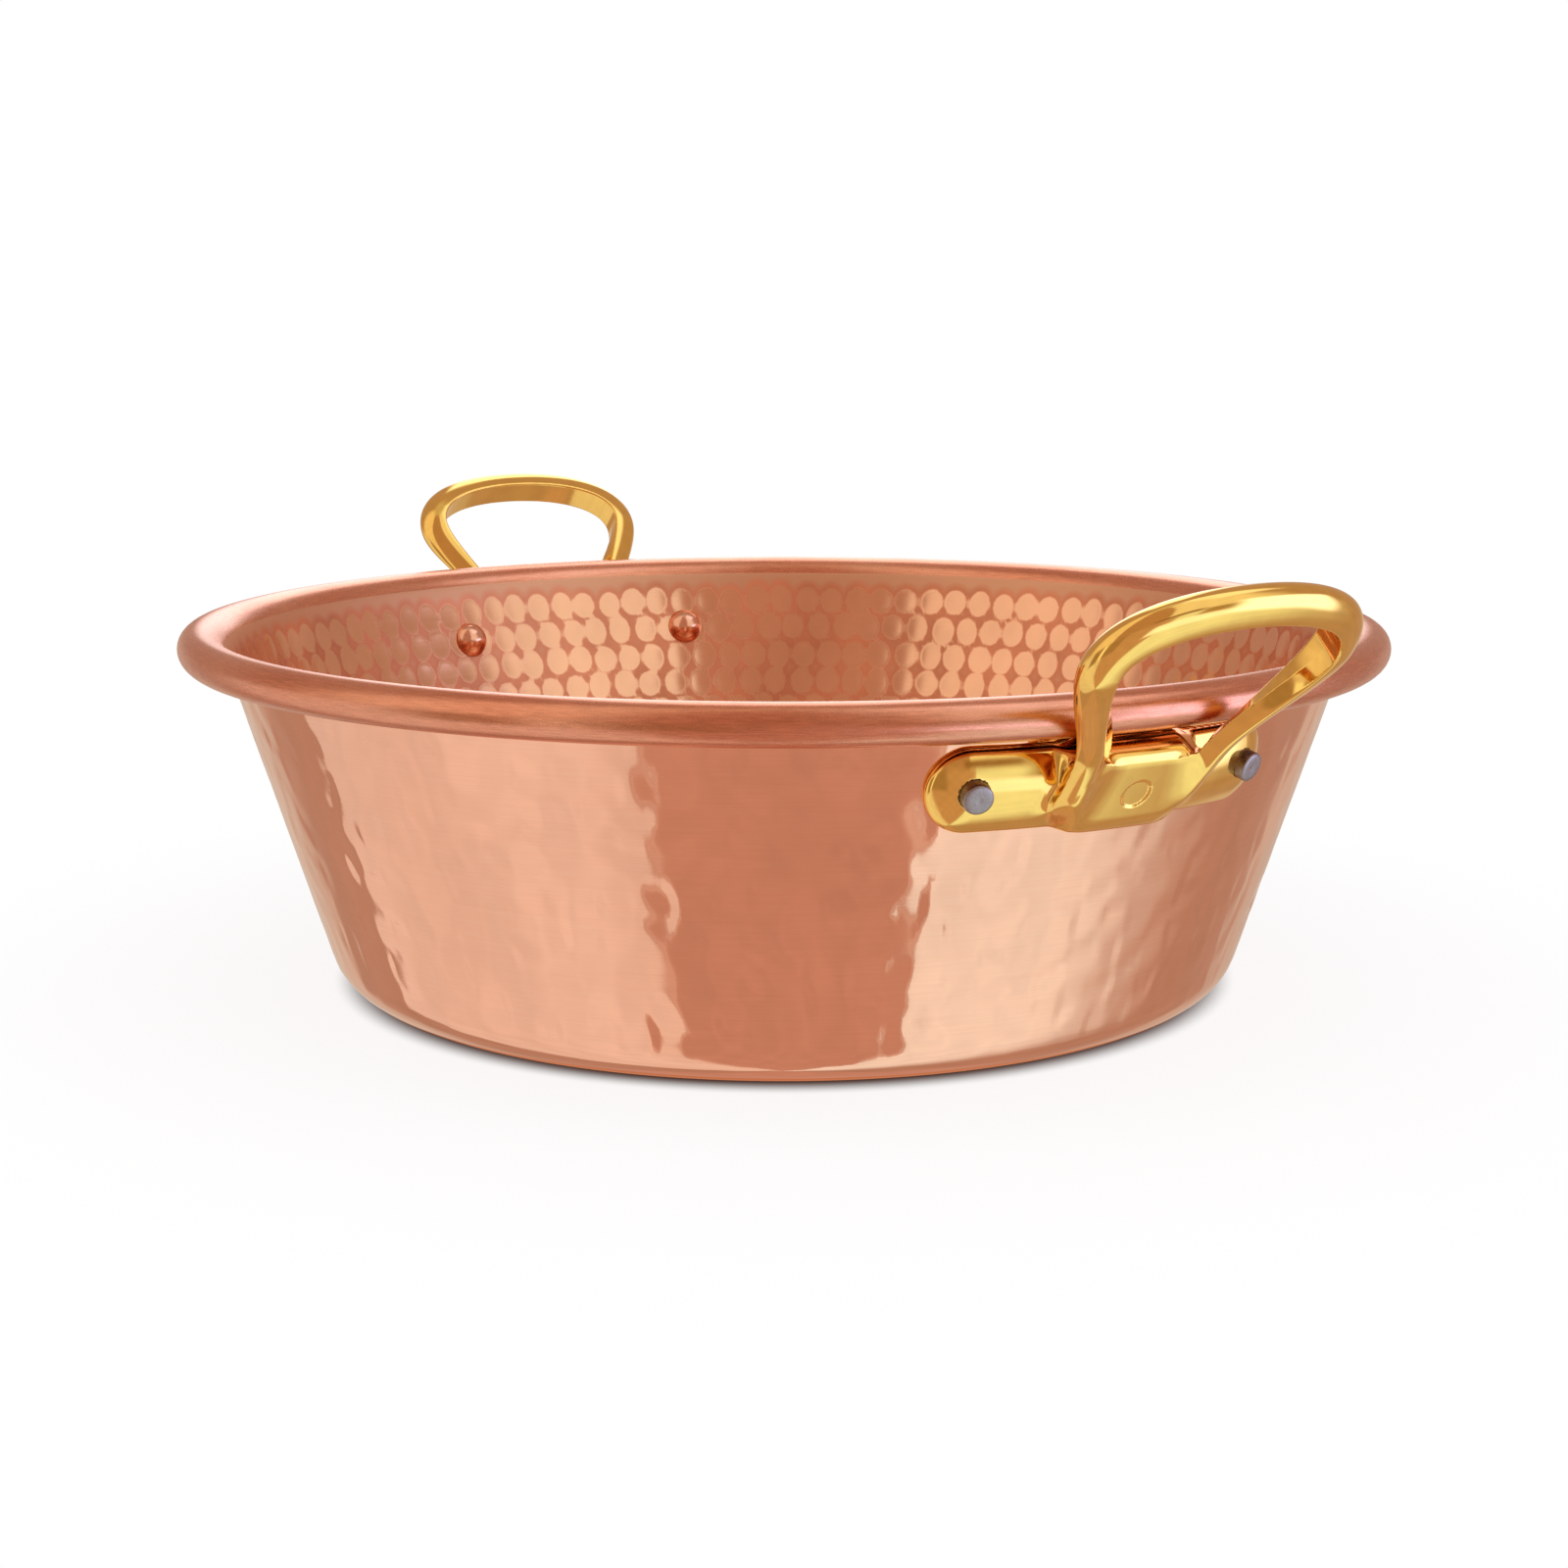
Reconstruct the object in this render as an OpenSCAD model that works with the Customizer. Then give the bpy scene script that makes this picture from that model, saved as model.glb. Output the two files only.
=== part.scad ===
// Copper jam pan: a raised copper bowl with a wired, rolled rim and two cast brass loop handles.
// Each handle hugs the wall with a riveted plate. The pan stands on the plane z = 0.
// The front handle lies at +X and the rear one near -X, turned by a few degrees as on a handmade pan.

/* [Pan] */
// Outer diameter across the rolled rim
rim_d = 384; // [350:1:420]
// Overall height, from the base to the top of the rim
pan_h = 116; // [105:0.5:135]
// Diameter of the flat part of the base
base_d = 265; // [235:1:290]
// Outer radius of the corner between base and wall
corner_r = 15.5; // [8:0.5:22]
// Thickness of the copper sheet
sheet_t = 1.5; // [1:0.1:2.2]

/* [Rolled rim] */
// Diameter of the steel wire inside the roll
wire_d = 8.5; // [6:0.5:11]
// Clearance between the wire and the sheet rolled round it
wire_fit = 0.25; // [0.1:0.05:0.3]
// Gap between the wall and the roll that stands out from it
roll_gap = 1; // [0.4:0.1:2]
// Degrees that the sheet wraps round the wire, from the top of the rim
roll_turn = 250; // [200:5:280]

/* [Handle plate] */
// Distance between the two rivets of a handle, along the wall
rivet_span = 90; // [84:0.5:100]
// Radius of the rounded ends of the plate
ear_r = 12.4; // [10.4:0.2:14]
// Height of the rivets above the middle of the plate's ends
rivet_lift = 1.3; // [0:0.1:2.5]
// Thickness of the plate at the rivets
plate_t = 6; // [4:0.25:7]
// Thickness of the plate at the edge of its ends
plate_edge = 2; // [1:0.25:3]
// Thickness of the pad between the legs, at its upper side
pad_head_t = 13.5; // [10:0.25:15]
// Thickness of the pad at its lower side
pad_foot_t = 7.5; // [5:0.25:10]
// Thickness of the pad at its upper and lower edge
pad_edge = 5; // [2:0.25:6]
// How far the pad between the legs hangs below the ends
pad_drop = 0.8; // [0:0.2:5]
// How far the top of the pad lies above the top of the ends
pad_rise = 3; // [0:0.2:3.6]
// Width of the pad between the legs
pad_w = 44; // [36:1:56]
// Gap between the plate and the wall that it hugs
plate_seat = 0.2; // [0.1:0.05:0.3]
// Gap between the top of the plate and the rolled rim
rim_gap = 2.9; // [1:0.1:4]

/* [Handle loop] */
// Width of the loop between bar centres, at its widest
loop_w = 79; // [66:1:96]
// Height of the bar's centre above the rim, at the top of the loop
loop_rise = 26.8; // [20:0.2:40]
// Reach of the bar's centre beyond the rim, at the top of the loop
loop_reach = 36.7; // [28:0.5:48]
// Height of the widest place of the loop above the rim
waist_rise = 11.5; // [8:0.5:16]
// Reach of the widest place of the loop beyond the rim
waist_reach = 22.4; // [16:0.5:28]
// Distance between the legs where they leave the plate
leg_span = 43; // [38:0.5:48]
// Depth below the roll at which the legs leave the plate
leg_drop = 3.4; // [3:0.1:8]
// Reach of the legs beyond the rim where they leave the plate, less than 0 where they fall short of it
leg_reach = -1; // [-2:0.5:3]
// Distance between the ridges at the foot of the plate
foot_span = 35.5; // [32:0.5:42]
// Height of the middle of the ridges above the wall, at the foot of the plate
foot_rise = 4.5; // [2.5:0.25:6]
// Width of the bar at the top of the loop, across the loop's plane
bar_w = 11; // [9:0.25:13]
// Thickness of the bar at the top of the loop, within the loop's plane
bar_t = 9; // [7:0.25:11]
// Width of the legs where they leave the plate, across the loop's plane
leg_w = 6.6; // [5.6:0.2:8]
// Thickness of the legs where they leave the plate
leg_t = 10.4; // [8:0.2:12]
// Angle by which the rear handle sits off the line through the front one
rear_turn = 3.4; // [0:0.2:5]

/* [Rivets] */
// Diameter of the shank
shank_d = 8.6; // [7:0.1:10]
// Diameter of the domed head inside the pan
head_d = 12.9; // [11.5:0.1:15]
// Height of the domed head
head_h = 4.6; // [3:0.1:5.5]
// How far the shank stands proud of the plate
shank_proud = 3; // [0.5:0.1:4]
// Chamfer on the end of the shank
shank_chamfer = 0.7; // [0.2:0.1:1.2]
// Clearance between the shank and the holes that it passes through
rivet_fit = 0.15; // [0.05:0.05:0.25]
// Gap between the head and the wall
head_seat = 0.15; // [0.15:0.05:0.3]

/* [Hidden] */
$fn = 120;
copper = [0.84, 0.51, 0.38];
brass = [0.89, 0.71, 0.33];
steel = [0.58, 0.57, 0.56];

// The roll is round, with its centre at bead_c. The wall is the straight line that touches the
// corner's circle and passes the roll at roll_gap, and the crown is the arc from it to the roll's top.
bead_d = wire_d + 2 * wire_fit + 2 * sheet_t;
bead_r = bead_d / 2;
rim_r = rim_d / 2;
corner_c = [base_d / 2, corner_r];
bead_c = [rim_r - bead_r, pan_h - bead_r];
span = bead_c - corner_c;
lean = atan2(span[0], span[1]) - asin((corner_r + bead_r + roll_gap) / norm(span));
out = [cos(lean), -sin(lean)];
up = [sin(lean), cos(lean)];
crown_r = (bead_r + roll_gap + sheet_t - bead_r * sin(lean)) / (1 - sin(lean));
crown_c = [bead_c[0], pan_h - crown_r];
// Lap of the base and the wall over the arcs that they run into, so that rounding leaves no crack there
wall_lap = 0.02;

// Height and radius of the rivets on the outside of the wall
wall_top = crown_c - (crown_r - sheet_t) * out;
rivet_z = pan_h - bead_d - rim_gap - (ear_r - rivet_lift) * cos(lean);
rivet_r = wall_top[0] + (rivet_z - wall_top[1]) * tan(lean);
rivet_deg = rivet_span / 2 / rivet_r * 180 / PI;
shank_r = shank_d / 2;

// Radius of the outside of the wall at height z
function wall_r(z) = rivet_r + (z - rivet_z) * tan(lean);

// Point on the wall of the front handle: t along the wall, v up its slope from the rivets, d off it
function on_wall(t, v, d) =
    let (r = rivet_r + v * up[0] + d * out[0], a = t / rivet_r * 180 / PI)
    [r * cos(a), r * sin(a), rivet_z + v * up[1] + d * out[1]];

function mix(a, b, f) = a + (b - a) * f;
function ease(f) = let (g = min(1, max(0, f))) g * g * (3 - 2 * g);
function unit(v) = v / norm(v);
function power(x, e) = sign(x) * pow(abs(x), e);
function bezier(a, b, c, d, f) =
    a * pow(1 - f, 3) + b * 3 * f * pow(1 - f, 2) + c * 3 * f * f * (1 - f) + d * pow(f, 3);

// Wedge from angle a to angle b about the origin, with straight sides of length r
module wedge(a, b, r) {
    polygon([[0, 0], for (i = [0:8]) r * [cos(mix(a, b, i / 8)), sin(mix(a, b, i / 8))]]);
}

// Closed skin through rings of points, all with the same count of points
module skin(rings) {
    n = len(rings[0]);
    m = len(rings);
    top = (m - 1) * n;
    sides = [for (i = [0:m - 2], j = [0:n - 1])
        let (a = i * n + j, b = i * n + (j + 1) % n) each [[a, b, a + n], [b, b + n, a + n]]];
    first_cap = [for (j = [1:n - 2]) [0, j + 1, j]];
    last_cap = [for (j = [1:n - 2]) [top, top + j, top + j + 1]];
    polyhedron(points = [for (ring = rings) each ring], faces = concat(sides, first_cap, last_cap));
}

// Sheet bent to an arc about c, with outer radius r, from angle a to angle b
module bend(c, r, a, b) {
    translate(c) intersection() {
        difference() {
            circle(r);
            circle(r - sheet_t);
        }
        wedge(a, b, 2 * r);
    }
}

// Half section of the copper sheet: base, corner, wall, crown and roll
module pan_section() {
    foot = corner_c + corner_r * out - wall_lap * up;
    head = wall_top + wall_lap * up;
    square([corner_c[0] + wall_lap, sheet_t]);
    bend(corner_c, corner_r, -90, -lean);
    polygon([foot, head, head - sheet_t * out, foot - sheet_t * out]);
    bend(crown_c, crown_r, 90, 180 - lean);
    bend(bead_c, bead_r, 90 - roll_turn, 90);
}

// Places its children at a rivet, with +Z out of the wall; side is -1 or 1
module at_rivet(side) {
    rotate([0, 0, side * rivet_deg]) translate([rivet_r, 0, rivet_z]) rotate([0, 90 + lean, 0]) children();
}

module rivet_holes() {
    reach = plate_t + sheet_t + shank_proud;
    for (side = [-1, 1]) at_rivet(side) translate([0, 0, -reach]) cylinder(h = 3 * reach, r = shank_r + rivet_fit);
}

module rivet(side) {
    ball_r = (pow(head_d / 2, 2) + head_h * head_h) / (2 * head_h);
    under = sheet_t + head_seat;
    at_rivet(side) {
        translate([0, 0, -under]) intersection() {
            translate([0, 0, ball_r - head_h]) sphere(ball_r);
            translate([0, 0, -head_h]) cylinder(h = head_h, r = head_d);
        }
        translate([0, 0, -under - head_h / 2])
            cylinder(h = under + head_h / 2 + plate_t + shank_proud - shank_chamfer, r = shank_r);
        translate([0, 0, plate_t + shank_proud - shank_chamfer])
            cylinder(h = shank_chamfer, r1 = shank_r, r2 = shank_r - shank_chamfer);
    }
}

// Plate: sections across the plate, set side by side along the wall
ear_t = rivet_span / 2;
ear_steps = 8;
pad_steps = 18;
face_steps = 8;
root_depth = 2 * sheet_t;

// How much the pad's outline counts at t: 1 in its middle, 0 beyond its sides
function pad_share(t) = 1 - ease((abs(t) - pad_w / 4) / (pad_w / 4));

// How much of the pad's thickness the plate has at t: all between the legs, none at the rivets
function swell(t) = 1 - ease((abs(t) - pad_w / 2) / (ear_t - pad_w / 2));

// One section: tip is 0 along the plate and rises to 90 degrees at the end of an ear
function plate_ring(t, tip) =
    let (half = ear_r * cos(tip),
         low = -rivet_lift - half - pad_drop * pad_share(t),
         high = half - rivet_lift + pad_rise * pad_share(t),
         edge = mix(plate_edge, pad_edge, swell(t)),
         flat = mix(0.6, 0.3, pad_share(t)))
    [on_wall(t, low, -root_depth),
     for (i = [0:face_steps])
         let (a = 180 * i / face_steps,
              f = (1 - cos(a)) / 2,
              thick = mix(plate_t, mix(pad_foot_t, pad_head_t, f), swell(t)))
         on_wall(t, mix(low, high, f), edge + (thick - edge) * pow(cos(tip), 0.5) * pow(max(0, sin(a)), flat)),
     on_wall(t, high, -root_depth)];

plate_rings = [
    for (i = [ear_steps:-1:1]) let (a = 84 * i / ear_steps) plate_ring(-ear_t - ear_r * sin(a), a),
    for (i = [-pad_steps:pad_steps]) plate_ring(ear_t * i / pad_steps, 0),
    for (i = [1:ear_steps]) let (a = 84 * i / ear_steps) plate_ring(ear_t + ear_r * sin(a), a)];

// Loop: the path of the bar's centre, from the top of the loop down one leg to the ridge's foot
top_p = [rim_r + loop_reach, 0, pan_h + loop_rise];
waist_p = [rim_r + waist_reach, loop_w / 2, pan_h + waist_rise];
leg_p = [rim_r + leg_reach, leg_span / 2, pan_h - bead_d - leg_drop];
foot_p = on_wall(foot_span / 2, plate_edge - ear_r - rivet_lift, foot_rise);
foot_up = unit(leg_p - foot_p);
waist_up = unit([top_p[0] - waist_p[0], 0, 1.2 * (top_p[2] - waist_p[2])]);
leg_up = unit([0.62, 0.34, 0.71]);
loop_steps = 9;
leg_steps = 8;
foot_steps = 6;

function loop_path(f) = bezier(top_p, top_p + [0, 0.6 * loop_w / 2, 0],
    waist_p + waist_up * 0.6 * norm([top_p[0] - waist_p[0], top_p[2] - waist_p[2]]), waist_p, f);
function leg_path(f) = let (d = norm(waist_p - leg_p))
    bezier(waist_p, waist_p - waist_up * 0.22 * d, leg_p + leg_up * 0.33 * d, leg_p, f);
function foot_path(f) = let (d = norm(leg_p - foot_p))
    bezier(leg_p, leg_p - leg_up * 0.22 * d, foot_p + foot_up * 0.28 * d, foot_p, f);

// Each step: point, width across the plane, thickness within it, and sharpness of the ridge
half_path = [
    for (i = [0:loop_steps]) let (f = i / loop_steps)
        [loop_path(f), bar_w, bar_t, 0],
    for (i = [1:leg_steps]) let (f = i / leg_steps)
        [leg_path(f), mix(bar_w, leg_w, ease(f)), mix(bar_t, leg_t, ease(f)), 0.7 * ease(f)],
    for (i = [1:foot_steps]) let (f = i / foot_steps)
        [foot_path(f), mix(leg_w, plate_t, f), leg_t, mix(0.7, 1, f)]];
last = len(half_path) - 1;
full_path = [
    for (i = [last:-1:1]) let (s = half_path[i]) [[s[0][0], -s[0][1], s[0][2]], s[1], s[2], s[3]],
    each half_path];

// Section of the bar at angle a: round outside, flat towards the loop's inside, a kite where sharp is 1
function bar_point(a, w, t, sharp) =
    let (inner = cos(a) < 0, ex = mix(inner ? 0.35 : 1, 1.8, sharp), ey = mix(inner ? 0.6 : 1, 1.8, sharp))
    [power(cos(a), ex) * t * (inner ? 0.45 : 0.55), power(sin(a), ey) * w / 2];

plane_out = unit([loop_rise - waist_rise, 0, waist_reach - loop_reach]);
bar_faces = 16;

function bar_ring(i) =
    let (s = full_path[i],
         ahead = full_path[min(i + 1, len(full_path) - 1)][0],
         behind = full_path[max(i - 1, 0)][0],
         along = unit(ahead - behind),
         away = unit(cross(plane_out, along)),
         front = cross(along, away))
    [for (j = [0:bar_faces - 1])
        let (q = bar_point(-360 * j / bar_faces, s[1], s[2], s[3])) s[0] + q[0] * away + q[1] * front];

// The casting: plate and bar in one, cut to the wall's cone and bored for the rivets
module handle() {
    cut_low = rivet_z - 3 * ear_r;
    cut_high = pan_h - bead_r;
    difference() {
        union() {
            skin(plate_rings);
            skin([for (i = [0:2 * last]) bar_ring(i)]);
        }
        translate([0, 0, cut_low])
            cylinder(h = cut_high - cut_low, r1 = wall_r(cut_low) + plate_seat / cos(lean),
                     r2 = wall_r(cut_high) + plate_seat / cos(lean));
        rivet_holes();
    }
}

module pan_body() {
    color(copper) difference() {
        rotate_extrude() pan_section();
        rivet_holes();
        rotate([0, 0, 180 - rear_turn]) rivet_holes();
    }
}

module rim_wire() {
    color(steel) rotate_extrude() translate(bead_c) circle(wire_d / 2);
}

module front_handle() {
    color(brass) handle();
}

module rear_handle() {
    color(brass) rotate([0, 0, 180 - rear_turn]) handle();
}

module front_left_rivet() {
    color(copper) rivet(-1);
}

module front_right_rivet() {
    color(copper) rivet(1);
}

module rear_left_rivet() {
    color(copper) rotate([0, 0, 180 - rear_turn]) rivet(-1);
}

module rear_right_rivet() {
    color(copper) rotate([0, 0, 180 - rear_turn]) rivet(1);
}

pan_body();
rim_wire();
front_handle();
rear_handle();
front_left_rivet();
front_right_rivet();
rear_left_rivet();
rear_right_rivet();
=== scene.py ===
import math

import bpy
import numpy as np
from bpy.props import FloatProperty, FloatVectorProperty, IntProperty, PointerProperty
from bpy.types import Operator, Panel, PropertyGroup
from mathutils import Matrix, Vector


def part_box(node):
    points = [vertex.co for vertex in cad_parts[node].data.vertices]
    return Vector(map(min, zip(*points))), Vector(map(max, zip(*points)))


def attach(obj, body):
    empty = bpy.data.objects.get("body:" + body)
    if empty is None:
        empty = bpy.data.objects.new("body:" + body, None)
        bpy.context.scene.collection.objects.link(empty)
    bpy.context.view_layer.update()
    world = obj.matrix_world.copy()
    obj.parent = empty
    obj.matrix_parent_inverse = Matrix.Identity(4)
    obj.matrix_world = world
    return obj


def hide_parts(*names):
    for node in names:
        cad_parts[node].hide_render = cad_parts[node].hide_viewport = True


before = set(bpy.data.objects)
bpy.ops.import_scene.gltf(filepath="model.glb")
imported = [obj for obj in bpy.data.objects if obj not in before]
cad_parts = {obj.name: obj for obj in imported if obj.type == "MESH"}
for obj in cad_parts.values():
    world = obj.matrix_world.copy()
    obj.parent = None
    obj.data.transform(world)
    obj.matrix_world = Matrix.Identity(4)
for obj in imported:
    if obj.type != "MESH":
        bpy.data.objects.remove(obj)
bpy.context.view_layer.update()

bl_info = {
    "name": "Copper Jam Pan",
    "version": (1, 0, 0),
    "blender": (4, 5, 0),
    "location": "3D View > Sidebar > Jam Pan",
    "description": "Dresses a hammered copper jam pan with cast brass handles, rivets and a plain studio",
    "category": "Add Mesh",
}

PAN_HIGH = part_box("pan_body")[1]
WIRE_LOW, WIRE_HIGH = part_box("rim_wire")


def length(text, default):
    """A property that holds a length in metres."""
    return FloatProperty(description=text, default=default, unit="LENGTH", precision=5)


def share(text, default):
    """A property that holds a number from 0 to 1."""
    return FloatProperty(description=text, default=default, subtype="FACTOR", min=0, max=1)


def angle(text, degrees):
    """A property that holds an angle, shown in degrees."""
    return FloatProperty(description=text, default=math.radians(degrees), unit="ROTATION")


def colour(text, default):
    """A property that holds a linear colour."""
    return FloatVectorProperty(description=text, default=default, subtype="COLOR", min=0, max=1)


class JAMPAN_PG_shell(PropertyGroup):
    """Sizes of the copper sheet."""

    rim_radius: length("Outer radius across the rolled rim", min(PAN_HIGH.x, PAN_HIGH.y))
    height: length("From the base to the top of the rim", PAN_HIGH.z)
    base_radius: length("Radius of the flat of the base", 0.1325)
    corner_radius: length("Outer radius between base and wall", 0.0155)
    sheet: length("Thickness of the copper sheet", 0.0015)
    wire_radius: length("Radius of the wire inside the roll", (WIRE_HIGH.z - WIRE_LOW.z) / 2)
    wire_fit: length("Clearance between wire and sheet", 0.00025)
    roll_gap: length("Gap between the wall and the roll", 0.001)
    roll_turn: angle("How far the sheet wraps round the wire", 250)


class JAMPAN_PG_marks(PropertyGroup):
    """Hammer marks on the bowl side, and the soft flat facets on the outside."""

    seed: IntProperty(description="Start of the random order", default=11)
    pitch: length("Distance between neighbouring marks of a row", 0.0098)
    row_pitch: length("Distance between the rows", 0.0106)
    first_row: length("Distance of the first row below the rim's crown", 0.0094)
    width: length("Width of a mark", 0.0093)
    height: length("Height of a mark", 0.0111)
    depth: length("Depth of a mark at its middle", 0.00016)
    stray: length("How far a mark strays from its place, along its row", 0.0006)
    row_stray: share("Share of that stray that also counts across the row", 0.8)
    stagger_stray: share("How far a row strays from the even stagger, in marks", 0.2)
    width_spread: share("How much the marks' widths differ", 0.06)
    height_spread: share("How much the marks' heights differ", 0.08)
    tilt: angle("How far a mark leans to one side", 8)
    facet_width: length("Width of the flat facets on the outside", 0.0098)
    facet_height: length("Height of the flat facets on the outside", 0.0120)
    facet_dip: length("How far the middle of a facet lies below the round wall", 0.00006)
    facet_dip_spread: share("How much the facets' dips differ", 0.4)
    facet_tilt: angle("How far a facet tilts off the wall", 2.2)
    facet_stray: share("How far a facet strays from its place, in facets", 0.22)


class JAMPAN_PG_handle(PropertyGroup):
    """Sizes of the cast handles."""

    rear_turn: angle("How far the rear handle sits off the line through the front one", 3.4)
    rivet_span: length("Distance between a handle's rivets, along the wall", 0.090)
    ear_radius: length("Radius of the plate's rounded ends", 0.0124)
    rivet_lift: length("Height of the rivets above the middle of the plate's ends", 0.0013)
    rim_gap: length("Gap between plate and rolled rim", 0.0029)
    plate: length("Thickness of the plate at the rivets", 0.006)
    plate_edge: length("Thickness of the plate at the edge of its ends", 0.002)
    plate_seat: length("Gap between the plate and the wall", 0.0002)
    pad_width: length("Width of the pad between the legs", 0.044)
    pad_head: length("Thickness of the pad at its upper side", 0.0135)
    pad_foot: length("Thickness of the pad at its lower side", 0.0075)
    pad_edge: length("Thickness of the pad at its upper and lower edge", 0.005)
    pad_drop: length("How far the pad hangs below the ends", 0.0008)
    pad_rise: length("How far the pad's top lies above the ends' top", 0.003)
    loop_width: length("Width of the loop between bar centres", 0.079)
    loop_rise: length("Height of the bar above the rim at the top", 0.0268)
    loop_reach: length("Reach of the bar beyond the rim at the top", 0.0367)
    waist_rise: length("Height of the loop's widest place above the rim", 0.0115)
    waist_reach: length("Reach of the loop's widest place beyond the rim", 0.0224)
    leg_span: length("Distance between the legs at the plate", 0.043)
    leg_drop: length("Depth below the roll at which the legs leave the plate", 0.0034)
    leg_reach: length("Reach of the legs beyond the rim at the plate", -0.001)
    foot_span: length("Distance between the ridges at the plate's foot", 0.0355)
    foot_rise: length("Height of the ridges' middle above the wall at the plate's foot", 0.0045)
    bar_width: length("Width of the bar across the loop's plane", 0.011)
    bar_thickness: length("Thickness of the bar within the loop's plane", 0.009)
    leg_width: length("Width of the legs at the plate, across the loop's plane", 0.0066)
    leg_thickness: length("Thickness of the legs at the plate", 0.0104)
    fillet: length("Fillet between the ridges and the plate", 0.0048)
    ridge_stop: length("Distance from the plate's foot at which the ridges fade out", 0.0045)
    blank_radius: length("Radius of the plain round dip in the pad", 0.0043)
    blank_dip: length("Depth of the plain round dip in the pad", 0.0006)
    grain: length("Size of the cells that the casting's skin is made of", 0.0005)


class JAMPAN_PG_rivet(PropertyGroup):
    """Sizes of the rivets."""

    shank: length("Radius of the shank", 0.0043)
    head: length("Radius of the domed head inside the pan", 0.00645)
    head_height: length("Height of the domed head", 0.0046)
    proud: length("How far the shank stands proud of the plate", 0.003)
    chamfer: length("Chamfer on the shank's end", 0.0007)
    seat: length("Gap between head and wall", 0.00015)


class JAMPAN_PG_finish(PropertyGroup):
    """Colours of the metals."""

    outside: colour("Polished copper of the wall's outside", (0.88, 0.50, 0.34))
    # Inside and gap differ by painted reflection: the darker, redder gap colour stands in for the ridges
    # between the hammer marks mirroring less light
    inside: colour("Copper inside the hammer marks", (0.86, 0.49, 0.31))
    gap: colour("Copper between the hammer marks", (0.72, 0.31, 0.18))
    rim: colour("Satin copper of the rolled rim", (0.70, 0.29, 0.175))
    brass: colour("Polished brass of the handles", (0.89, 0.585, 0.155))
    head: colour("Copper of the rivets' heads", (0.82, 0.44, 0.30))
    shank: colour("Grey metal of the rivets' ends", (0.33, 0.30, 0.295))
    wire: colour("Steel of the rim's wire", (0.50, 0.49, 0.48))


class JAMPAN_PG_studio(PropertyGroup):
    """Camera, floor and light."""

    azimuth: angle("Camera's turn round the pan from the -Y side", 58.7)
    distance: length("Camera's distance from the pan's axis", 0.850)
    camera_height: length("Camera's height above the floor", 0.219)
    pitch: angle("How far the camera looks down", 10.6)
    lens: FloatProperty(description="Focal length in mm on a 36 mm sensor", default=60.6)
    tent_radius: length("Radius of the light tent round the pan", 5.0)
    floor_reach: length("Half the width of the floor", 6.0)
    floor_white: share("How much lamp light the floor gives back", 0.16)
    floor_glow: share("Even light of the open floor", 0.85)
    # Painted contact shadow in the floor's glow: its darkest level under the pan, and the ring round the
    # shadow radius where it fades out
    floor_painted_shadow: share("Even light of the floor under the pan", 0.02)
    shadow_radius: length("Radius of the dark floor that the metal sees", 0.139)
    shadow_inside: length("How far inside that radius the floor starts to brighten", 0.004)
    shadow_outside: length("How far outside it the floor is bright again", 0.009)
    # Colour of the painted contact shadow disc that only the metal sees; the shadow radius above also sizes
    # that disc
    shadow_tone: colour("What the metal sees of the dark floor", (0.62, 0.26, 0.13))
    ambient: share("Level of the even light on the floor", 0.72)
    lamp_power: FloatProperty(description="Strength of each lamp in W/m2", default=0.45)
    lamp_width: angle("How wide each lamp looks from the pan", 50)
    lamp_bearing: angle("How far the lamps stand to each side of the camera", 60)
    lamp_rise: angle("Height of the lamps over the horizon", 60)


def mix(a, b, f):
    return a + (b - a) * f


def ease(f):
    g = np.clip(f, 0, 1)
    return g * g * (3 - 2 * g)


def unit(v):
    return v / np.linalg.norm(v)


def arc(centre, radius, first, last, count):
    """Points on an arc from angle first to angle last, in degrees."""
    a = np.radians(np.linspace(first, last, count))
    return centre + radius * np.c_[np.cos(a), np.sin(a)]


def line(start, end, count):
    """Points on a straight line, both ends among them."""
    return mix(np.array(start), np.array(end), np.linspace(0, 1, count)[:, None])


def bezier(a, b, c, d, f):
    return a * (1 - f) ** 3 + b * 3 * f * (1 - f) ** 2 + c * 3 * f * f * (1 - f) + d * f**3


def finish_piece(piece, slot_name, *nodes):
    """Puts a finished piece on the pan in place of its CAD nodes."""
    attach(piece, "root")
    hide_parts(*nodes)


def new_object(name, points, faces, materials):
    """A smooth mesh object at the origin, made of points and faces."""
    mesh = bpy.data.meshes.new(name)
    mesh.from_pydata([tuple(p) for p in points], [], faces)
    mesh.polygons.foreach_set("use_smooth", [True] * len(mesh.polygons))
    for material in materials:
        mesh.materials.append(material)
    mesh.validate()
    obj = bpy.data.objects.new(name, mesh)
    bpy.context.scene.collection.objects.link(obj)
    return obj


# Shape of the copper shell

# Materials of the shell, by the side of the sheet
BOWL_SIDE, RIM, OUTSIDE = 0, 1, 2
# Points in a ring of the wall and of the rim
WALL_RING, RIM_RING, HIDDEN_RING = 720, 360, 180
# Rings across the crown, the roll, the roll's lining, the crown's lining and the outer wall
CROWN_RINGS, ROLL_RINGS, LINING_RINGS, UNDER_CROWN_RINGS, OUTER_WALL_RINGS = 10, 24, 10, 5, 42
# Points in the rings of the base, by the radius that they start at or lie at
BASE_INSIDE = ((0.06, 360), (0.03, 180), (0.012, 90), (0.0, 45))
BASE_OUTSIDE = ((0.13, 360), (0.10, 180), (0.06, 90), (0.03, 45), (0.01, 45))


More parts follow.
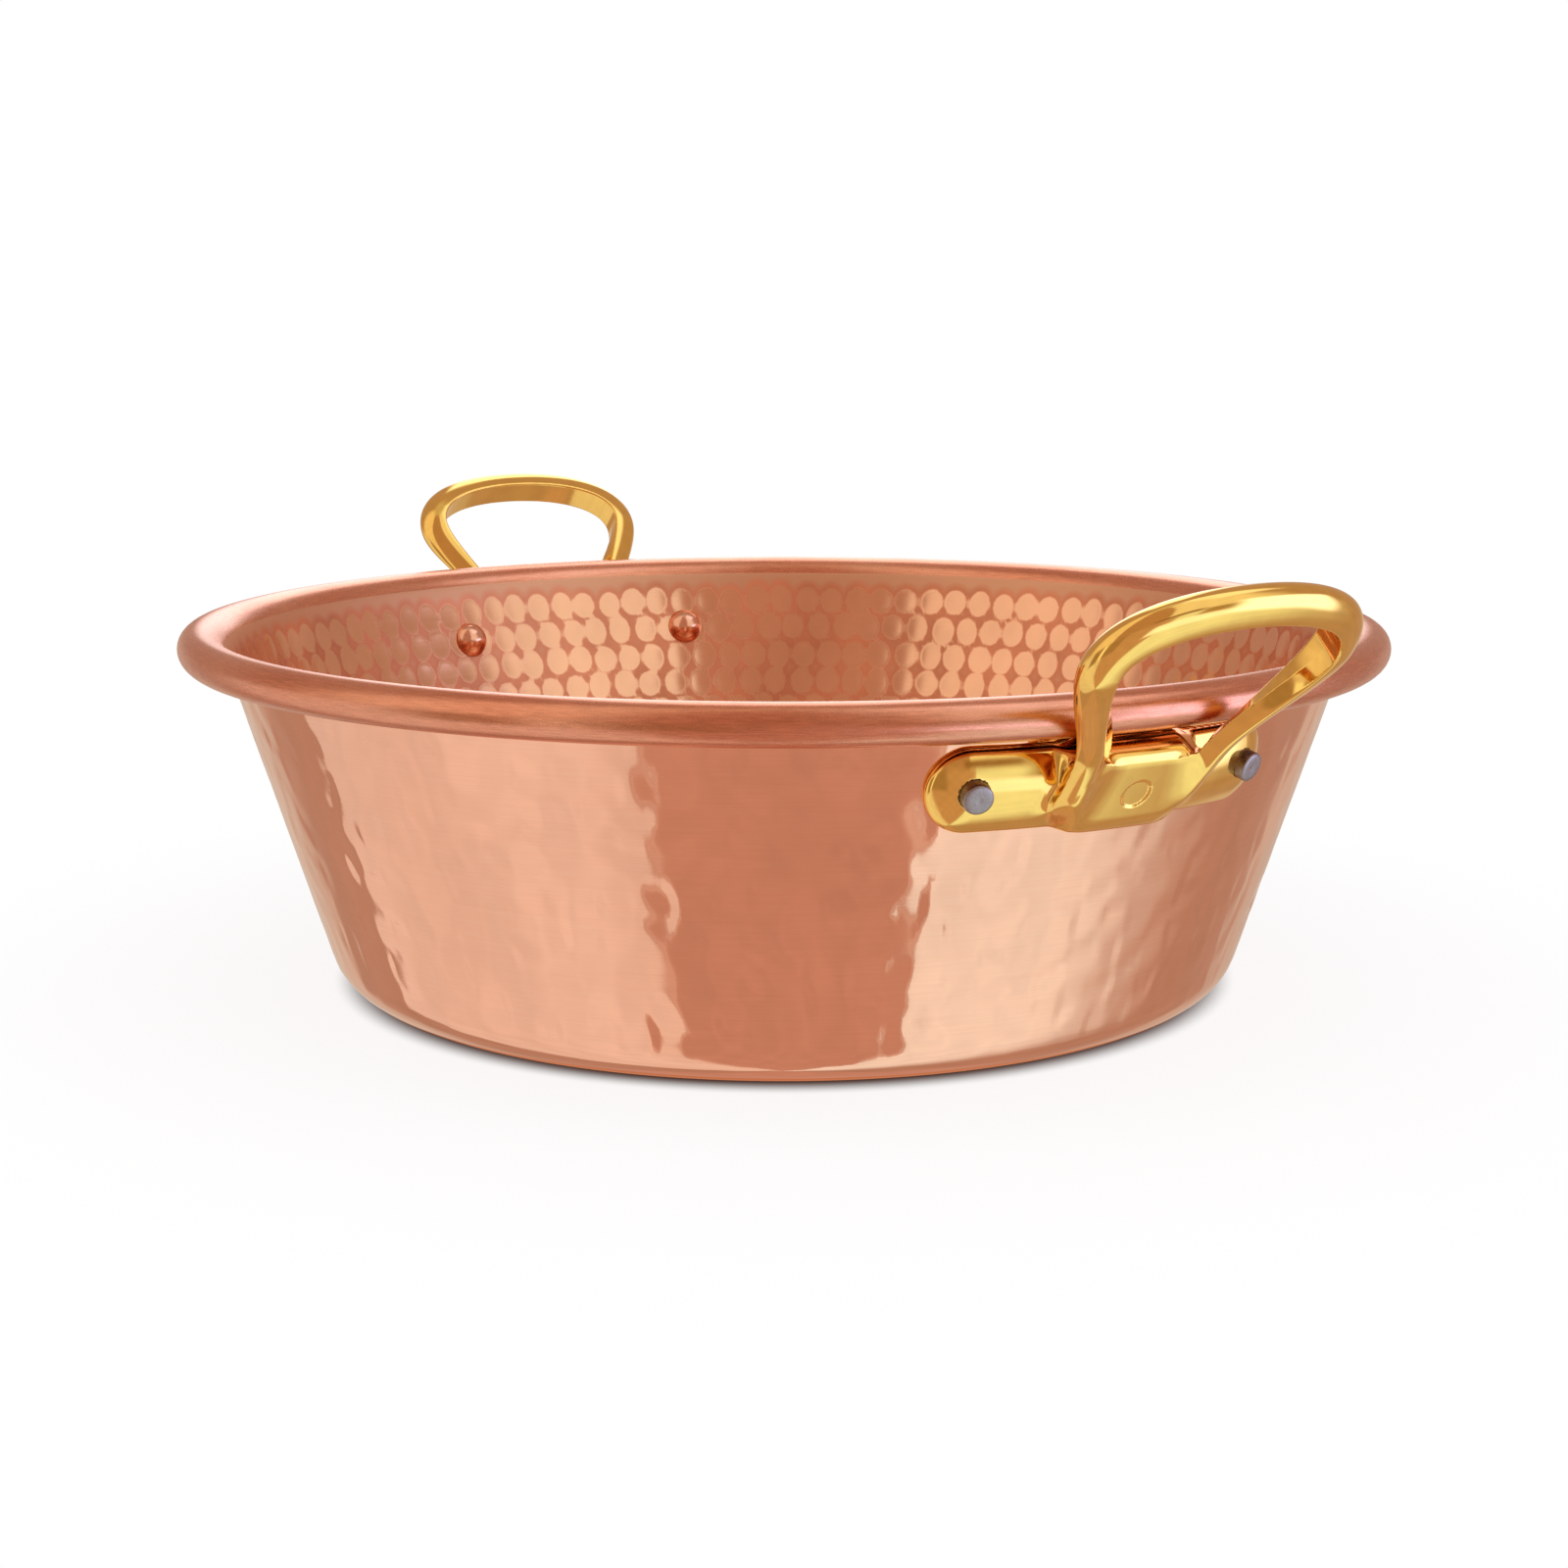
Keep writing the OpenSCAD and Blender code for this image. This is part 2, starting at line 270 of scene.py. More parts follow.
class Shell:
    """Half section of the copper sheet, worked out from its driving sizes."""

    BASE_STATIONS, CORNER_STATIONS, WALL_STATIONS = 45, 8, 50

    def __init__(self, size):
        self.size = size
        self.bead_r = size.wire_radius + size.wire_fit + size.sheet
        self.corner_c = np.array((size.base_radius, size.corner_radius))
        self.bead_c = np.array((size.rim_radius - self.bead_r, size.height - self.bead_r))
        span = self.bead_c - self.corner_c
        reach = size.corner_radius + self.bead_r + size.roll_gap
        self.lean = math.atan2(span[0], span[1]) - math.asin(reach / np.linalg.norm(span))
        sine = math.sin(self.lean)
        self.out = np.array((math.cos(self.lean), -sine))
        self.up = np.array((sine, math.cos(self.lean)))
        self.crown_r = (self.bead_r + size.roll_gap + size.sheet - self.bead_r * sine) / (1 - sine)
        self.crown_c = np.array((self.bead_c[0], size.height - self.crown_r))
        self.wall_top = self.crown_c - (self.crown_r - size.sheet) * self.out
        self.wall_foot = self.corner_c + size.corner_radius * self.out

    def bowl_side(self):
        """Stations from the middle of the base out and up to the top of the wall."""
        t = self.size.sheet
        tilt = -math.degrees(self.lean)
        inner_top = self.wall_top - t * self.out
        inner_foot = self.wall_foot - t * self.out
        base = line((0.0, t), (self.size.base_radius, t), self.BASE_STATIONS)
        corner = arc(self.corner_c, self.size.corner_radius - t, -90, tilt, self.CORNER_STATIONS)
        wall = line(inner_foot, inner_top, self.WALL_STATIONS)
        return np.vstack((base[:-1], corner[:-1], wall))

    def bowl_distance(self, points):
        """Distance of each station from the top of the wall, along the sheet."""
        steps = np.linalg.norm(np.diff(points, axis=0), axis=1)
        return np.append(steps[::-1].cumsum()[::-1], 0)


class HammerMarks:
    """Staggered rings of hammer marks, placed by angle and by distance down from the rim."""

    # Fewest marks in a row, and how far from its row a mark counts, in row pitches
    FEWEST, REACH = 5, 1.6

    def __init__(self, shell, size):
        rng = np.random.default_rng(size.seed)
        bowl = shell.bowl_side()
        distance = shell.bowl_distance(bowl)
        self.size = size
        self.rows = []
        at = size.first_row
        phase = 0.0
        while at < distance[0] - size.row_pitch / 2:
            radius = np.interp(at, distance[::-1], bowl[::-1, 0])
            count = max(self.FEWEST, round(2 * math.pi * radius / size.pitch))
            step = 2 * math.pi / count
            phase += step * (0.5 + rng.uniform(-size.stagger_stray, size.stagger_stray))
            wander = rng.uniform(-1, 1, (5, count))
            self.rows.append({
                "at": at + wander[0] * size.stray * size.row_stray,
                "angle": phase + step * np.arange(count) + wander[1] * size.stray / radius,
                "phase": phase,
                "step": step,
                "middle": at,
                "half_width": size.width / 2 * (1 + size.width_spread * wander[2]),
                "half_height": size.height / 2 * (1 + size.height_spread * wander[3]),
                "tilt": size.tilt * wander[4],
            })
            at += size.row_pitch

    def depth_inside(self, distance, turn, radius):
        """How far inside the nearest mark a point lies: 1 at its middle, 0 on its edge, less outside."""
        best = np.full(len(distance), -1.0)
        for row in self.rows:
            near = np.abs(distance - row["middle"]) < self.REACH * self.size.row_pitch
            if not near.any():
                continue
            s, a, r = distance[near], turn[near], radius[near]
            count = len(row["angle"])
            first = np.round((a - row["phase"]) / row["step"]).astype(int)
            for k in (-1, 0, 1):
                j = (first + k) % count
                across = (a - row["angle"][j] + math.pi) % (2 * math.pi) - math.pi
                x, y = across * r, s - row["at"][j]
                c, n = np.cos(row["tilt"][j]), np.sin(row["tilt"][j])
                u, v = (c * x + n * y) / row["half_width"][j], (c * y - n * x) / row["half_height"][j]
                best[near] = np.maximum(best[near], 1 - np.hypot(u, v))
        return best


# How sharply one facet gives way to the next, and how far a facet counts, in facet heights
FACET_KEENNESS, FACET_REACH = 20, 1.7


def facet_relief(climb, turn, radius, size):
    """Height of the outside off the round wall: soft flat facets, each tilted a little its own way."""
    rng = np.random.default_rng(size.seed + 1)
    total, weight = np.zeros(len(turn)), np.full(len(turn), 1e-9)
    rows = int(climb.max() / size.facet_height) + 2
    count = round(2 * math.pi * radius.mean() / size.facet_width)
    step = 2 * math.pi / count
    lean = math.tan(size.facet_tilt)
    for i in range(-1, rows):
        phase = rng.uniform(0, step)
        wander = rng.uniform(-1, 1, (5, count))
        middle = (i + 0.5) * size.facet_height
        near = np.abs(climb - middle) < FACET_REACH * size.facet_height
        if not near.any():
            continue
        s, a, r = climb[near], turn[near], radius[near]
        first = np.round((a - phase) / step).astype(int)
        for k in (-1, 0, 1):
            j = (first + k) % count
            across = (a - phase - step * j + math.pi) % (2 * math.pi) - math.pi
            u = across * r / size.facet_width - size.facet_stray * wander[0][j]
            v = (s - middle) / size.facet_height - size.facet_stray * wander[1][j]
            off = u * u + v * v
            nearness = np.exp(-FACET_KEENNESS * off)
            slope = u * size.facet_width * wander[2][j] + v * size.facet_height * wander[3][j]
            dip = size.facet_dip * (1 + size.facet_dip_spread * (wander[4][j] - 1))
            total[near] += nearness * (slope * lean - dip * (1 - 4 * off))
            weight[near] += nearness
    return total / weight


def ring_faces(first_a, count_a, first_b, count_b):
    """Faces between ring a and the next ring b, of equal counts or one double the other."""
    count = min(count_a, count_b)
    j = np.arange(count)
    k = (j + 1) % count
    if count_a == count_b:
        return np.column_stack((first_a + j, first_b + j, first_b + k, first_a + k)).tolist()
    if count_b > count_a:
        near, far = first_a + j, first_a + k
        low, high = first_b + 2 * j, first_b + (2 * j + 2) % count_b
        fans = (near, low, low + 1), (near, low + 1, far), (far, low + 1, high)
    else:
        near, far = first_b + j, first_b + k
        low, high = first_a + 2 * j, first_a + (2 * j + 2) % count_a
        fans = (low, near, low + 1), (low + 1, near, far), (low + 1, far, high)
    return np.vstack([np.column_stack(fan) for fan in fans]).tolist()


def section_rings(shell):
    """The sheet's section as rings: radius, height, points round, and material of the next band."""
    size = shell.size
    t = size.sheet
    tilt = math.degrees(shell.lean)
    rings = []
    roll_end = 90 - math.degrees(size.roll_turn)

    def add(points, count, side):
        rings.extend((x, z, count, side) for x, z in points)

    for x, z in shell.bowl_side()[1:]:
        on_base = z < t * 1.01
        count = next(n for r, n in BASE_INSIDE if x > r) if on_base else WALL_RING
        rings.append((x, z, count, BOWL_SIDE))
    add(arc(shell.crown_c, shell.crown_r, 180 - tilt, 90, CROWN_RINGS)[1:-1], RIM_RING, RIM)
    add(arc(shell.bead_c, shell.bead_r, 90, roll_end, ROLL_RINGS), RIM_RING, RIM)
    add(arc(shell.bead_c, shell.bead_r - t, roll_end, 90, LINING_RINGS), HIDDEN_RING, RIM)
    under_crown = arc(shell.crown_c, shell.crown_r - t, 90, 180 - tilt, UNDER_CROWN_RINGS)
    add(under_crown[1:-1], RIM_RING, OUTSIDE)
    add(line(shell.wall_top, shell.wall_foot, OUTER_WALL_RINGS), WALL_RING, OUTSIDE)
    corner = arc(shell.corner_c, size.corner_radius, -tilt, -90, shell.CORNER_STATIONS)
    add(corner[1:], RIM_RING, OUTSIDE)
    rings.extend((x, 0.0, n, OUTSIDE) for x, n in BASE_OUTSIDE)
    return rings


def section_normals(flat):
    """Outward direction at each ring of the section, from the rings before and after it."""
    ahead = np.roll(flat, -1, axis=0) - np.roll(flat, 1, axis=0)
    normals = np.c_[-ahead[:, 1], ahead[:, 0]] / np.linalg.norm(ahead, axis=1)[:, None]
    normals[0], normals[-1] = (0, 1), (0, -1)
    return normals


def section_faces(rings):
    """Faces between the rings and over both middles of the base, and the material of each."""
    counts = [n for _, _, n, _ in rings]
    starts = np.concatenate(([0], np.cumsum(counts)))
    faces, sides = [], []
    for i in range(len(rings) - 1):
        band = ring_faces(starts[i], counts[i], starts[i + 1], counts[i + 1])
        faces += band
        sides += [rings[i][3]] * len(band)
    top, bottom = starts[-1], starts[-1] + 1
    first, last = counts[0], counts[-1]
    faces += [[top, j, (j + 1) % first] for j in range(first)]
    faces += [[bottom, starts[-2] + (j + 1) % last, starts[-2] + j] for j in range(last)]
    return faces, sides + [BOWL_SIDE] * first + [OUTSIDE] * last


def build_shell(name, size, mark_size, materials):
    """The copper sheet: hammered bowl side, rolled rim and softly uneven outside."""
    shell = Shell(size)
    marks = HammerMarks(shell, mark_size)
    rings = section_rings(shell)
    flat = np.array([(x, z) for x, z, _, _ in rings])
    counts = [n for _, _, n, _ in rings]
    turn = np.concatenate([2 * math.pi * np.arange(n) / n for n in counts])
    index = np.repeat(np.arange(len(rings)), counts)
    side = np.array([ring[3] for ring in rings])[index]
    bowl, wall = side == BOWL_SIDE, side == OUTSIDE
    radius, height = flat[index, 0], flat[index, 1]
    bowl_side = shell.bowl_side()
    down = shell.bowl_distance(bowl_side)[1:]
    inside = np.full(len(turn), -1.0)
    distance = np.repeat(down, counts[: len(down)])
    inside[bowl] = marks.depth_inside(distance, turn[bowl], radius[bowl])
    push = np.zeros(len(turn))
    push[bowl] = -mark_size.depth * (1 - (1 - np.clip(inside[bowl], 0, 1)) ** 2)
    climb = np.clip((shell.wall_top[1] - height[wall]) / math.cos(shell.lean), 0, None)
    standing = ease((height[wall] - size.sheet) / size.corner_radius)
    under_rim = ease(climb / mark_size.facet_height)
    relief = facet_relief(climb, turn[wall], radius[wall], mark_size)
    push[wall] = np.minimum(0, relief - mark_size.facet_dip) * standing * under_rim
    offset = section_normals(flat)[index] * push[:, None]
    r, z = radius + offset[:, 0], height + offset[:, 1]
    points = np.c_[r * np.cos(turn), r * np.sin(turn), z]
    points = np.vstack((points, (0, 0, bowl_side[0][1]), (0, 0, 0)))
    faces, sides = section_faces(rings)
    pan = new_object(name, points, faces, materials)
    pan.data.polygons.foreach_set("material_index", sides)
    attribute = pan.data.attributes.new("mark", "FLOAT", "POINT")
    attribute.data.foreach_set("value", np.append(inside, (0, 0)).astype(np.float32))
    return pan


# Shape of the cast handles


class Casting:
    """Signed distance of one handle, at +X: a plate on the wall, two legs with ridges, and the loop."""

    # Steps on each of the path's three curves, and points that are worked out at once
    STEPS, BATCH = 160, 50000
    # Search for the nearest place on the path: every how many steps it first looks, how often it then draws
    # nearer, the share of the way that it goes, and the most steps that it takes
    SPARSE, TRIES, SHARE, FARTHEST = 8, 5, 0.8, 6
    # Columns of the path's table
    PLACE, ALONG, AWAY, FRONT = slice(0, 3), slice(3, 6), slice(6, 9), slice(9, 12)
    WIDTH, THICK, KEEN, GAP = 12, 13, 14, 15
    # Direction in which a leg leaves the plate: out, to the side and up
    LEG_UP = (0.62, 0.34, 0.71)
    WAIST_STEEPNESS = 1.2
    # How far each curve keeps to its end's direction, as a share of the way between its ends
    CREST_PULL, WAIST_PULL, LEG_PULL, RIDGE_PULL, FOOT_PULL = 0.6, 0.22, 0.33, 0.22, 0.28
    # Section of the bar: share of the thickness on its inner side, place of a keen bar's widest line as a
    # share of the thickness, power of a round and of a keen outer side, and rounding of the inner arrises
    INNER, KEEN_CREST, ROUND_POWER, KEEN_POWER, ARRIS = 0.45, 0.12, 2.0, 1.3, 0.0007
    LEG_KEENNESS = 0.8
    # Width of the crowned border of the ears and of the pad, in ear radii
    EAR_BEVEL, PAD_BEVEL = 0.98, 0.45
    PLATE_ROUND, BACK_ROUND, HOLE_ROUND = 0.0014, 0.0006, 0.0002
    # Width of the blank's rounded edge, in depths of the blank
    BLANK_EDGE = 1.6

    def __init__(self, shell, size, rivet):
        self.size, self.rivet, self.shell = size, rivet, shell
        bead = 2 * shell.bead_r
        top = shell.size.height - bead - size.rim_gap
        self.rivet_z = top - (size.ear_radius - size.rivet_lift) * math.cos(shell.lean)
        self.rivet_r = shell.wall_top[0] + (self.rivet_z - shell.wall_top[1]) * math.tan(shell.lean)
        rim_r, pan_h = shell.size.rim_radius, shell.size.height
        crest = np.array((rim_r + size.loop_reach, 0, pan_h + size.loop_rise))
        waist = np.array((rim_r + size.waist_reach, size.loop_width / 2, pan_h + size.waist_rise))
        leg = np.array((rim_r + size.leg_reach, size.leg_span / 2, pan_h - bead - size.leg_drop))
        low = size.plate_edge - size.ear_radius - size.rivet_lift
        foot = self.on_wall(size.foot_span / 2, low, size.foot_rise)
        foot_up = unit(leg - foot)
        waist_up = unit(np.array((crest[0] - waist[0], 0, self.WAIST_STEEPNESS * (crest[2] - waist[2]))))
        leg_up = unit(np.array(self.LEG_UP))
        climb = np.linalg.norm((crest - waist)[[0, 2]])
        drop, run = np.linalg.norm(waist - leg), np.linalg.norm(leg - foot)
        half = np.array((0, self.CREST_PULL * size.loop_width / 2, 0))
        f = np.linspace(0, 1, self.STEPS + 1)[:, None]
        waist_over = waist + waist_up * self.CREST_PULL * climb
        waist_under = waist - waist_up * self.WAIST_PULL * drop
        leg_over = leg + leg_up * self.LEG_PULL * drop
        leg_under = leg - leg_up * self.RIDGE_PULL * run
        loop = bezier(crest, crest + half, waist_over, waist, f)
        legs = bezier(waist, waist_under, leg_over, leg, f)
        ridge = bezier(leg, leg_under, foot + foot_up * self.FOOT_PULL * run, foot, f)
        self.path = np.vstack((loop[:-1], legs[:-1], ridge))
        on_leg, on_ridge = ease(f[:-1, 0]), f[:, 0]
        ones = np.ones(self.STEPS)
        width = np.concatenate((
            size.bar_width * ones,
            mix(size.bar_width, size.leg_width, on_leg),
            mix(size.leg_width, size.plate, on_ridge)))
        thick = np.concatenate((
            size.bar_thickness * ones,
            mix(size.bar_thickness, size.leg_thickness, on_leg),
            size.leg_thickness * np.ones(self.STEPS + 1)))
        keen = np.concatenate((0 * ones, self.LEG_KEENNESS * on_leg, mix(self.LEG_KEENNESS, 1, on_ridge)))
        rise, run_out = size.loop_rise - size.waist_rise, size.loop_reach - size.waist_reach
        plane_out = unit(np.array((rise, 0, -run_out)))
        along = np.gradient(self.path, axis=0)
        gap = np.linalg.norm(along, axis=1)
        along /= gap[:, None]
        away = np.cross(plane_out, along)
        away /= np.linalg.norm(away, axis=1)[:, None]
        front = np.cross(along, away)
        self.table = np.column_stack((self.path, along, away, front, width, thick, keen, gap))

    def on_wall(self, t, v, d):
        """Point on the wall: t along it, v up its slope from the rivets, d off it."""
        r = self.rivet_r + v * self.shell.up[0] + d * self.shell.out[0]
        a = t / self.rivet_r
        z = self.rivet_z + v * self.shell.up[1] + d * self.shell.out[1]
        return np.array((r * math.cos(a), r * math.sin(a), z))

    def wall_place(self, p):
        """The same three numbers for points in space."""
        out, up = self.shell.out, self.shell.up
        r = np.hypot(p[:, 0], p[:, 1]) - self.rivet_r
        z = p[:, 2] - self.rivet_z
        return np.arctan2(p[:, 1], p[:, 0]) * self.rivet_r, r * up[0] + z * up[1], r * out[0] + z * out[1]

    def bar(self, p):
        """Distance to the bar, its legs and its ridges, for points at y >= 0."""
        sparse = self.path[::self.SPARSE]
        last = len(self.path) - 1
        result = np.empty(len(p))
        for i in range(0, len(p), self.BATCH):
            q = p[i:i + self.BATCH]
            square = (q * q).sum(1)[:, None] - 2 * q @ sparse.T + (sparse * sparse).sum(1)
            at = float(self.SPARSE) * square.argmin(1)
            for _ in range(self.TRIES):
                row = self.along_path(np.clip(at, 0, last))
                step = ((q - row[:, self.PLACE]) * row[:, self.ALONG]).sum(1) / row[:, self.GAP]
                at = np.clip(at + np.clip(self.SHARE * step, -self.FARTHEST, self.FARTHEST), 0, last)
            row = self.along_path(at)
            off = q - row[:, self.PLACE]
            side, out = (off * row[:, self.AWAY]).sum(1), (off * row[:, self.FRONT]).sum(1)
            half, thick, keen = row[:, self.WIDTH] / 2, row[:, self.THICK], row[:, self.KEEN]
            result[i:i + self.BATCH] = self.section(side, out, half, thick, keen)
        return result

    def along_path(self, at):
        """The path's table at places between its rows."""
        k = np.minimum(at.astype(int), len(self.table) - 2)
        return mix(self.table[k], self.table[k + 1], (at - k)[:, None])

    def section(self, a, b, half, thick, keen):
        """A D that is round outside and flat inside where keen is 0, and a kite where keen is 1."""
        b = np.abs(b)
        inner, outer = self.INNER * thick, (1 - self.INNER) * thick
        crest = mix(-inner, self.KEEN_CREST * thick, keen)
        power = mix(self.ROUND_POWER, self.KEEN_POWER, keen)
        rise = np.maximum(a - crest, 0) / (outer - crest)
        round_side = ((rise**power + (b / half) ** power) ** (1 / power) - 1) * half
        depth = inner + crest
        flat_side = ((crest - a) * half + (b - half) * depth) / np.hypot(half, depth)
        return smooth_max(round_side, flat_side, self.ARRIS)

    def plate_edges(self, t):
        """Lower and upper edge of the plate at t, and how much the pad between the legs counts there."""
        size = self.size
        pad = 1 - ease((t - size.pad_width / 4) / (size.pad_width / 4))
        low = -size.rivet_lift - size.ear_radius - size.pad_drop * pad
        return low, size.ear_radius - size.rivet_lift + size.pad_rise * pad, pad

    def plate(self, t, v, d):
        """Distance to the plate, in the wall's own numbers."""
        size = self.size
        low, high, pad = self.plate_edges(t)
        climb = np.clip((v - low) / (high - low), 0, 1)
        seam = mix(size.foot_span, size.leg_span, climb) / 2
        swell = 1 - ease(0.5 + (t - seam) / size.pad_edge)
        across = (v - (low + high) / 2) * 2 * size.ear_radius / (high - low)
        edge = np.hypot(np.maximum(t - size.rivet_span / 2, 0), across) - size.ear_radius
        bevel = size.ear_radius * mix(self.EAR_BEVEL, self.PAD_BEVEL, pad)
        rise = np.clip(-edge / bevel, 0, 1)
        wedge = mix(size.pad_foot, size.pad_head, climb)
        brink = mix(size.plate_edge, size.pad_edge, swell)
        bulge = (1 - (1 - rise) ** 2) ** mix(1.0, 0.5, pad)
        crown = brink + (mix(size.plate, wedge, swell) - brink) * bulge
        blank = np.hypot(t, v + size.rivet_lift) - size.blank_radius
        crown = crown - size.blank_dip * ease(0.5 - blank / (self.BLANK_EDGE * size.blank_dip))
        return smooth_max(edge, d - crown, self.PLATE_ROUND)

    def __call__(self, p):
        """Distance to the whole casting, negative inside."""
        q = p.copy()
        q[:, 1] = np.abs(q[:, 1])
        t, v, d = self.wall_place(q)
        low = self.plate_edges(t)[0]
        bar = smooth_max(self.bar(q), low - v + self.size.ridge_stop, 2 * self.size.ridge_stop)
        whole = smooth_min(bar, self.plate(t, v, d), self.size.fillet)
        whole = smooth_max(whole, self.size.plate_seat - d, self.BACK_ROUND)
        bead = np.hypot(np.hypot(q[:, 0], q[:, 1]) - self.shell.bead_c[0], q[:, 2] - self.shell.bead_c[1])
        whole = smooth_max(whole, self.shell.bead_r + self.size.plate_seat - bead, self.BACK_ROUND)
        turn = self.size.rivet_span / 2 / self.rivet_r
        out, r = self.shell.out, self.rivet_r
        axis = np.array((math.cos(turn) * out[0], math.sin(turn) * out[0], out[1]))
        side = q - np.array((r * math.cos(turn), r * math.sin(turn), self.rivet_z))
        side -= (side @ axis)[:, None] * axis
        return smooth_max(whole, self.rivet.shank - np.linalg.norm(side, axis=1), self.HOLE_ROUND)


def smooth_max(a, b, k):
    h = np.clip(0.5 + 0.5 * (a - b) / k, 0, 1)
    return mix(b, a, h) + k * h * (1 - h)


def smooth_min(a, b, k):
    return -smooth_max(-a, -b, k)


def cast_skin(shape, low, high, cell):
    """Quads over the surface where shape is 0: a vertex in each cell that it crosses, drawn onto it."""
    # Cells along a block's side, and how near the surface a block's cells are worked out, in block sides
    block, margin = 5, 1.6
    blocks = [math.ceil((b - a) / (block * cell)) for a, b in zip(low, high)]
    middles = [a + block * cell * (np.arange(n) + 0.5) for a, n in zip(low, blocks)]
    coarse = np.stack(np.meshgrid(*middles, indexing="ij"), -1)
    coarse = shape(coarse.reshape(-1, 3)).reshape(blocks)
    value = coarse.repeat(block, 0).repeat(block, 1).repeat(block, 2)
    size = value.shape
    close = np.argwhere(np.abs(value) < block * cell * margin)
    value[tuple(close.T)] = shape(np.array(low) + cell * close)
    inside = value < 0
    corners = [(i, j, k) for i in (0, 1) for j in (0, 1) for k in (0, 1)]

    def corner(array, c):
        return array[c[0]:size[0] - 1 + c[0], c[1]:size[1] - 1 + c[1], c[2]:size[2] - 1 + c[2]]

    count = sum(corner(inside, c).astype(int) for c in corners)
    crossed = (count > 0) & (count < 8)
    number = np.full(crossed.shape, -1)
    number[crossed] = np.arange(crossed.sum())
    places = np.argwhere(crossed)
    points = np.zeros((len(places), 3))
    hits = np.zeros(len(places))
    for a in corners:
        for axis in range(3):
            if a[axis]:
                continue
            b = tuple(1 if i == axis else a[i] for i in range(3))
            va, vb = corner(value, a)[crossed], corner(value, b)[crossed]
            cut = (va < 0) != (vb < 0)
            f = np.where(cut, va / np.where(cut, va - vb, 1), 0)
            point = places + np.array(a) + f[:, None] * np.eye(3)[axis]
            points += np.where(cut[:, None], point, 0)
            hits += cut
    points = np.array(low) + cell * points / hits[:, None]
    faces = []
    for axis in range(3):
        u, w = [i for i in range(3) if i != axis]
        lower = tuple(slice(0, -1) if i == axis else slice(1, -1) for i in range(3))
        upper = tuple(slice(1, None) if i == axis else slice(1, -1) for i in range(3))
        a, b = inside[lower], inside[upper]
        at = np.argwhere(a != b) + np.array([0 if i == axis else 1 for i in range(3)])
        flip = b[a != b] != (axis == 1)
        square = []
        for du, dw in ((1, 1), (0, 1), (0, 0), (1, 0)):
            back = np.zeros(3, int)
            back[u], back[w] = du, dw
            square.append(number[tuple((at - back).T)])
        square = np.column_stack(square)
        square[flip] = square[flip][:, ::-1]
        faces.append(square)
    # Half the span that the slope is taken over, the least square of it, and draws onto the surface
    reach, flattest, draws = cell / 4, 0.01, 3
    for _ in range(draws):
        here = shape(points)
        slope = np.column_stack([
            (shape(points + reach * e) - shape(points - reach * e)) / (2 * reach) for e in np.eye(3)])
        move = here[:, None] * slope / np.maximum((slope * slope).sum(1), flattest)[:, None]
        points -= np.clip(move, -cell / 2, cell / 2)
    normals = slope / np.maximum(np.linalg.norm(slope, axis=1), 1e-9)[:, None]
    return points, np.vstack(faces), normals


# Rivets

# Turned rings on the shank's end, as shares of its radius and heights, and the depth that they lie in
END_RINGS = ((0.22, 0.00002), (0.34, 0.00012), (0.46, 0.00002), (0.60, 0.00014), (0.74, 0.0))
END_DEPTH = 0.00014
RIVET_SEGMENTS = 48


def lathe(profile, segments):
    """Points and faces of a profile of (radius, height) turned about Z, closed at both ends."""
    turn = 2 * math.pi * np.arange(segments) / segments
    rings = [np.c_[r * np.cos(turn), r * np.sin(turn), np.full(segments, z)] for r, z in profile]
    faces = []
    for i in range(len(rings) - 1):
        faces += ring_faces(i * segments, segments, (i + 1) * segments, segments)
    last = (len(rings) - 1) * segments
    points = np.vstack(rings + [[(0, 0, profile[0][1])], [(0, 0, profile[-1][1])]])
    low, high = len(points) - 2, len(points) - 1
    faces += [[low, j, (j + 1) % segments] for j in range(segments)]
    faces += [[high, last + (j + 1) % segments, last + j] for j in range(segments)]
    return points, faces


def rivet_profile(size, sheet, plate):
    """From the middle of the domed head out over its edge, along the shank and to the ringed end."""
    under = -sheet - size.seat
    ball = (size.head**2 + size.head_height**2) / (2 * size.head_height)
    steep = math.degrees(math.asin(min(1, size.head / ball)))
    if size.head_height > ball:
        steep = 180 - steep
    dome = arc(np.array((0, under - size.head_height + ball)), ball, -90, -90 + steep, 22)[1:]
    end = plate + size.proud
    face = [(size.shank * f, end - END_DEPTH + rise) for f, rise in reversed(END_RINGS)]
    head_edge, neck_length, corner_in, corner_up = 0.0002, 0.001, 0.0001, 0.0003
    neck = [(size.head - head_edge, under), (size.shank, under)]
    side = [(size.shank, z) for z in np.linspace(under + neck_length, end - size.chamfer, 8)]
    corner = [
        (size.shank - corner_in, end - size.chamfer + corner_up),
        (size.shank - size.chamfer, end - END_DEPTH)]
    return [tuple(p) for p in dome] + neck + side + corner + face


# Procedural materials


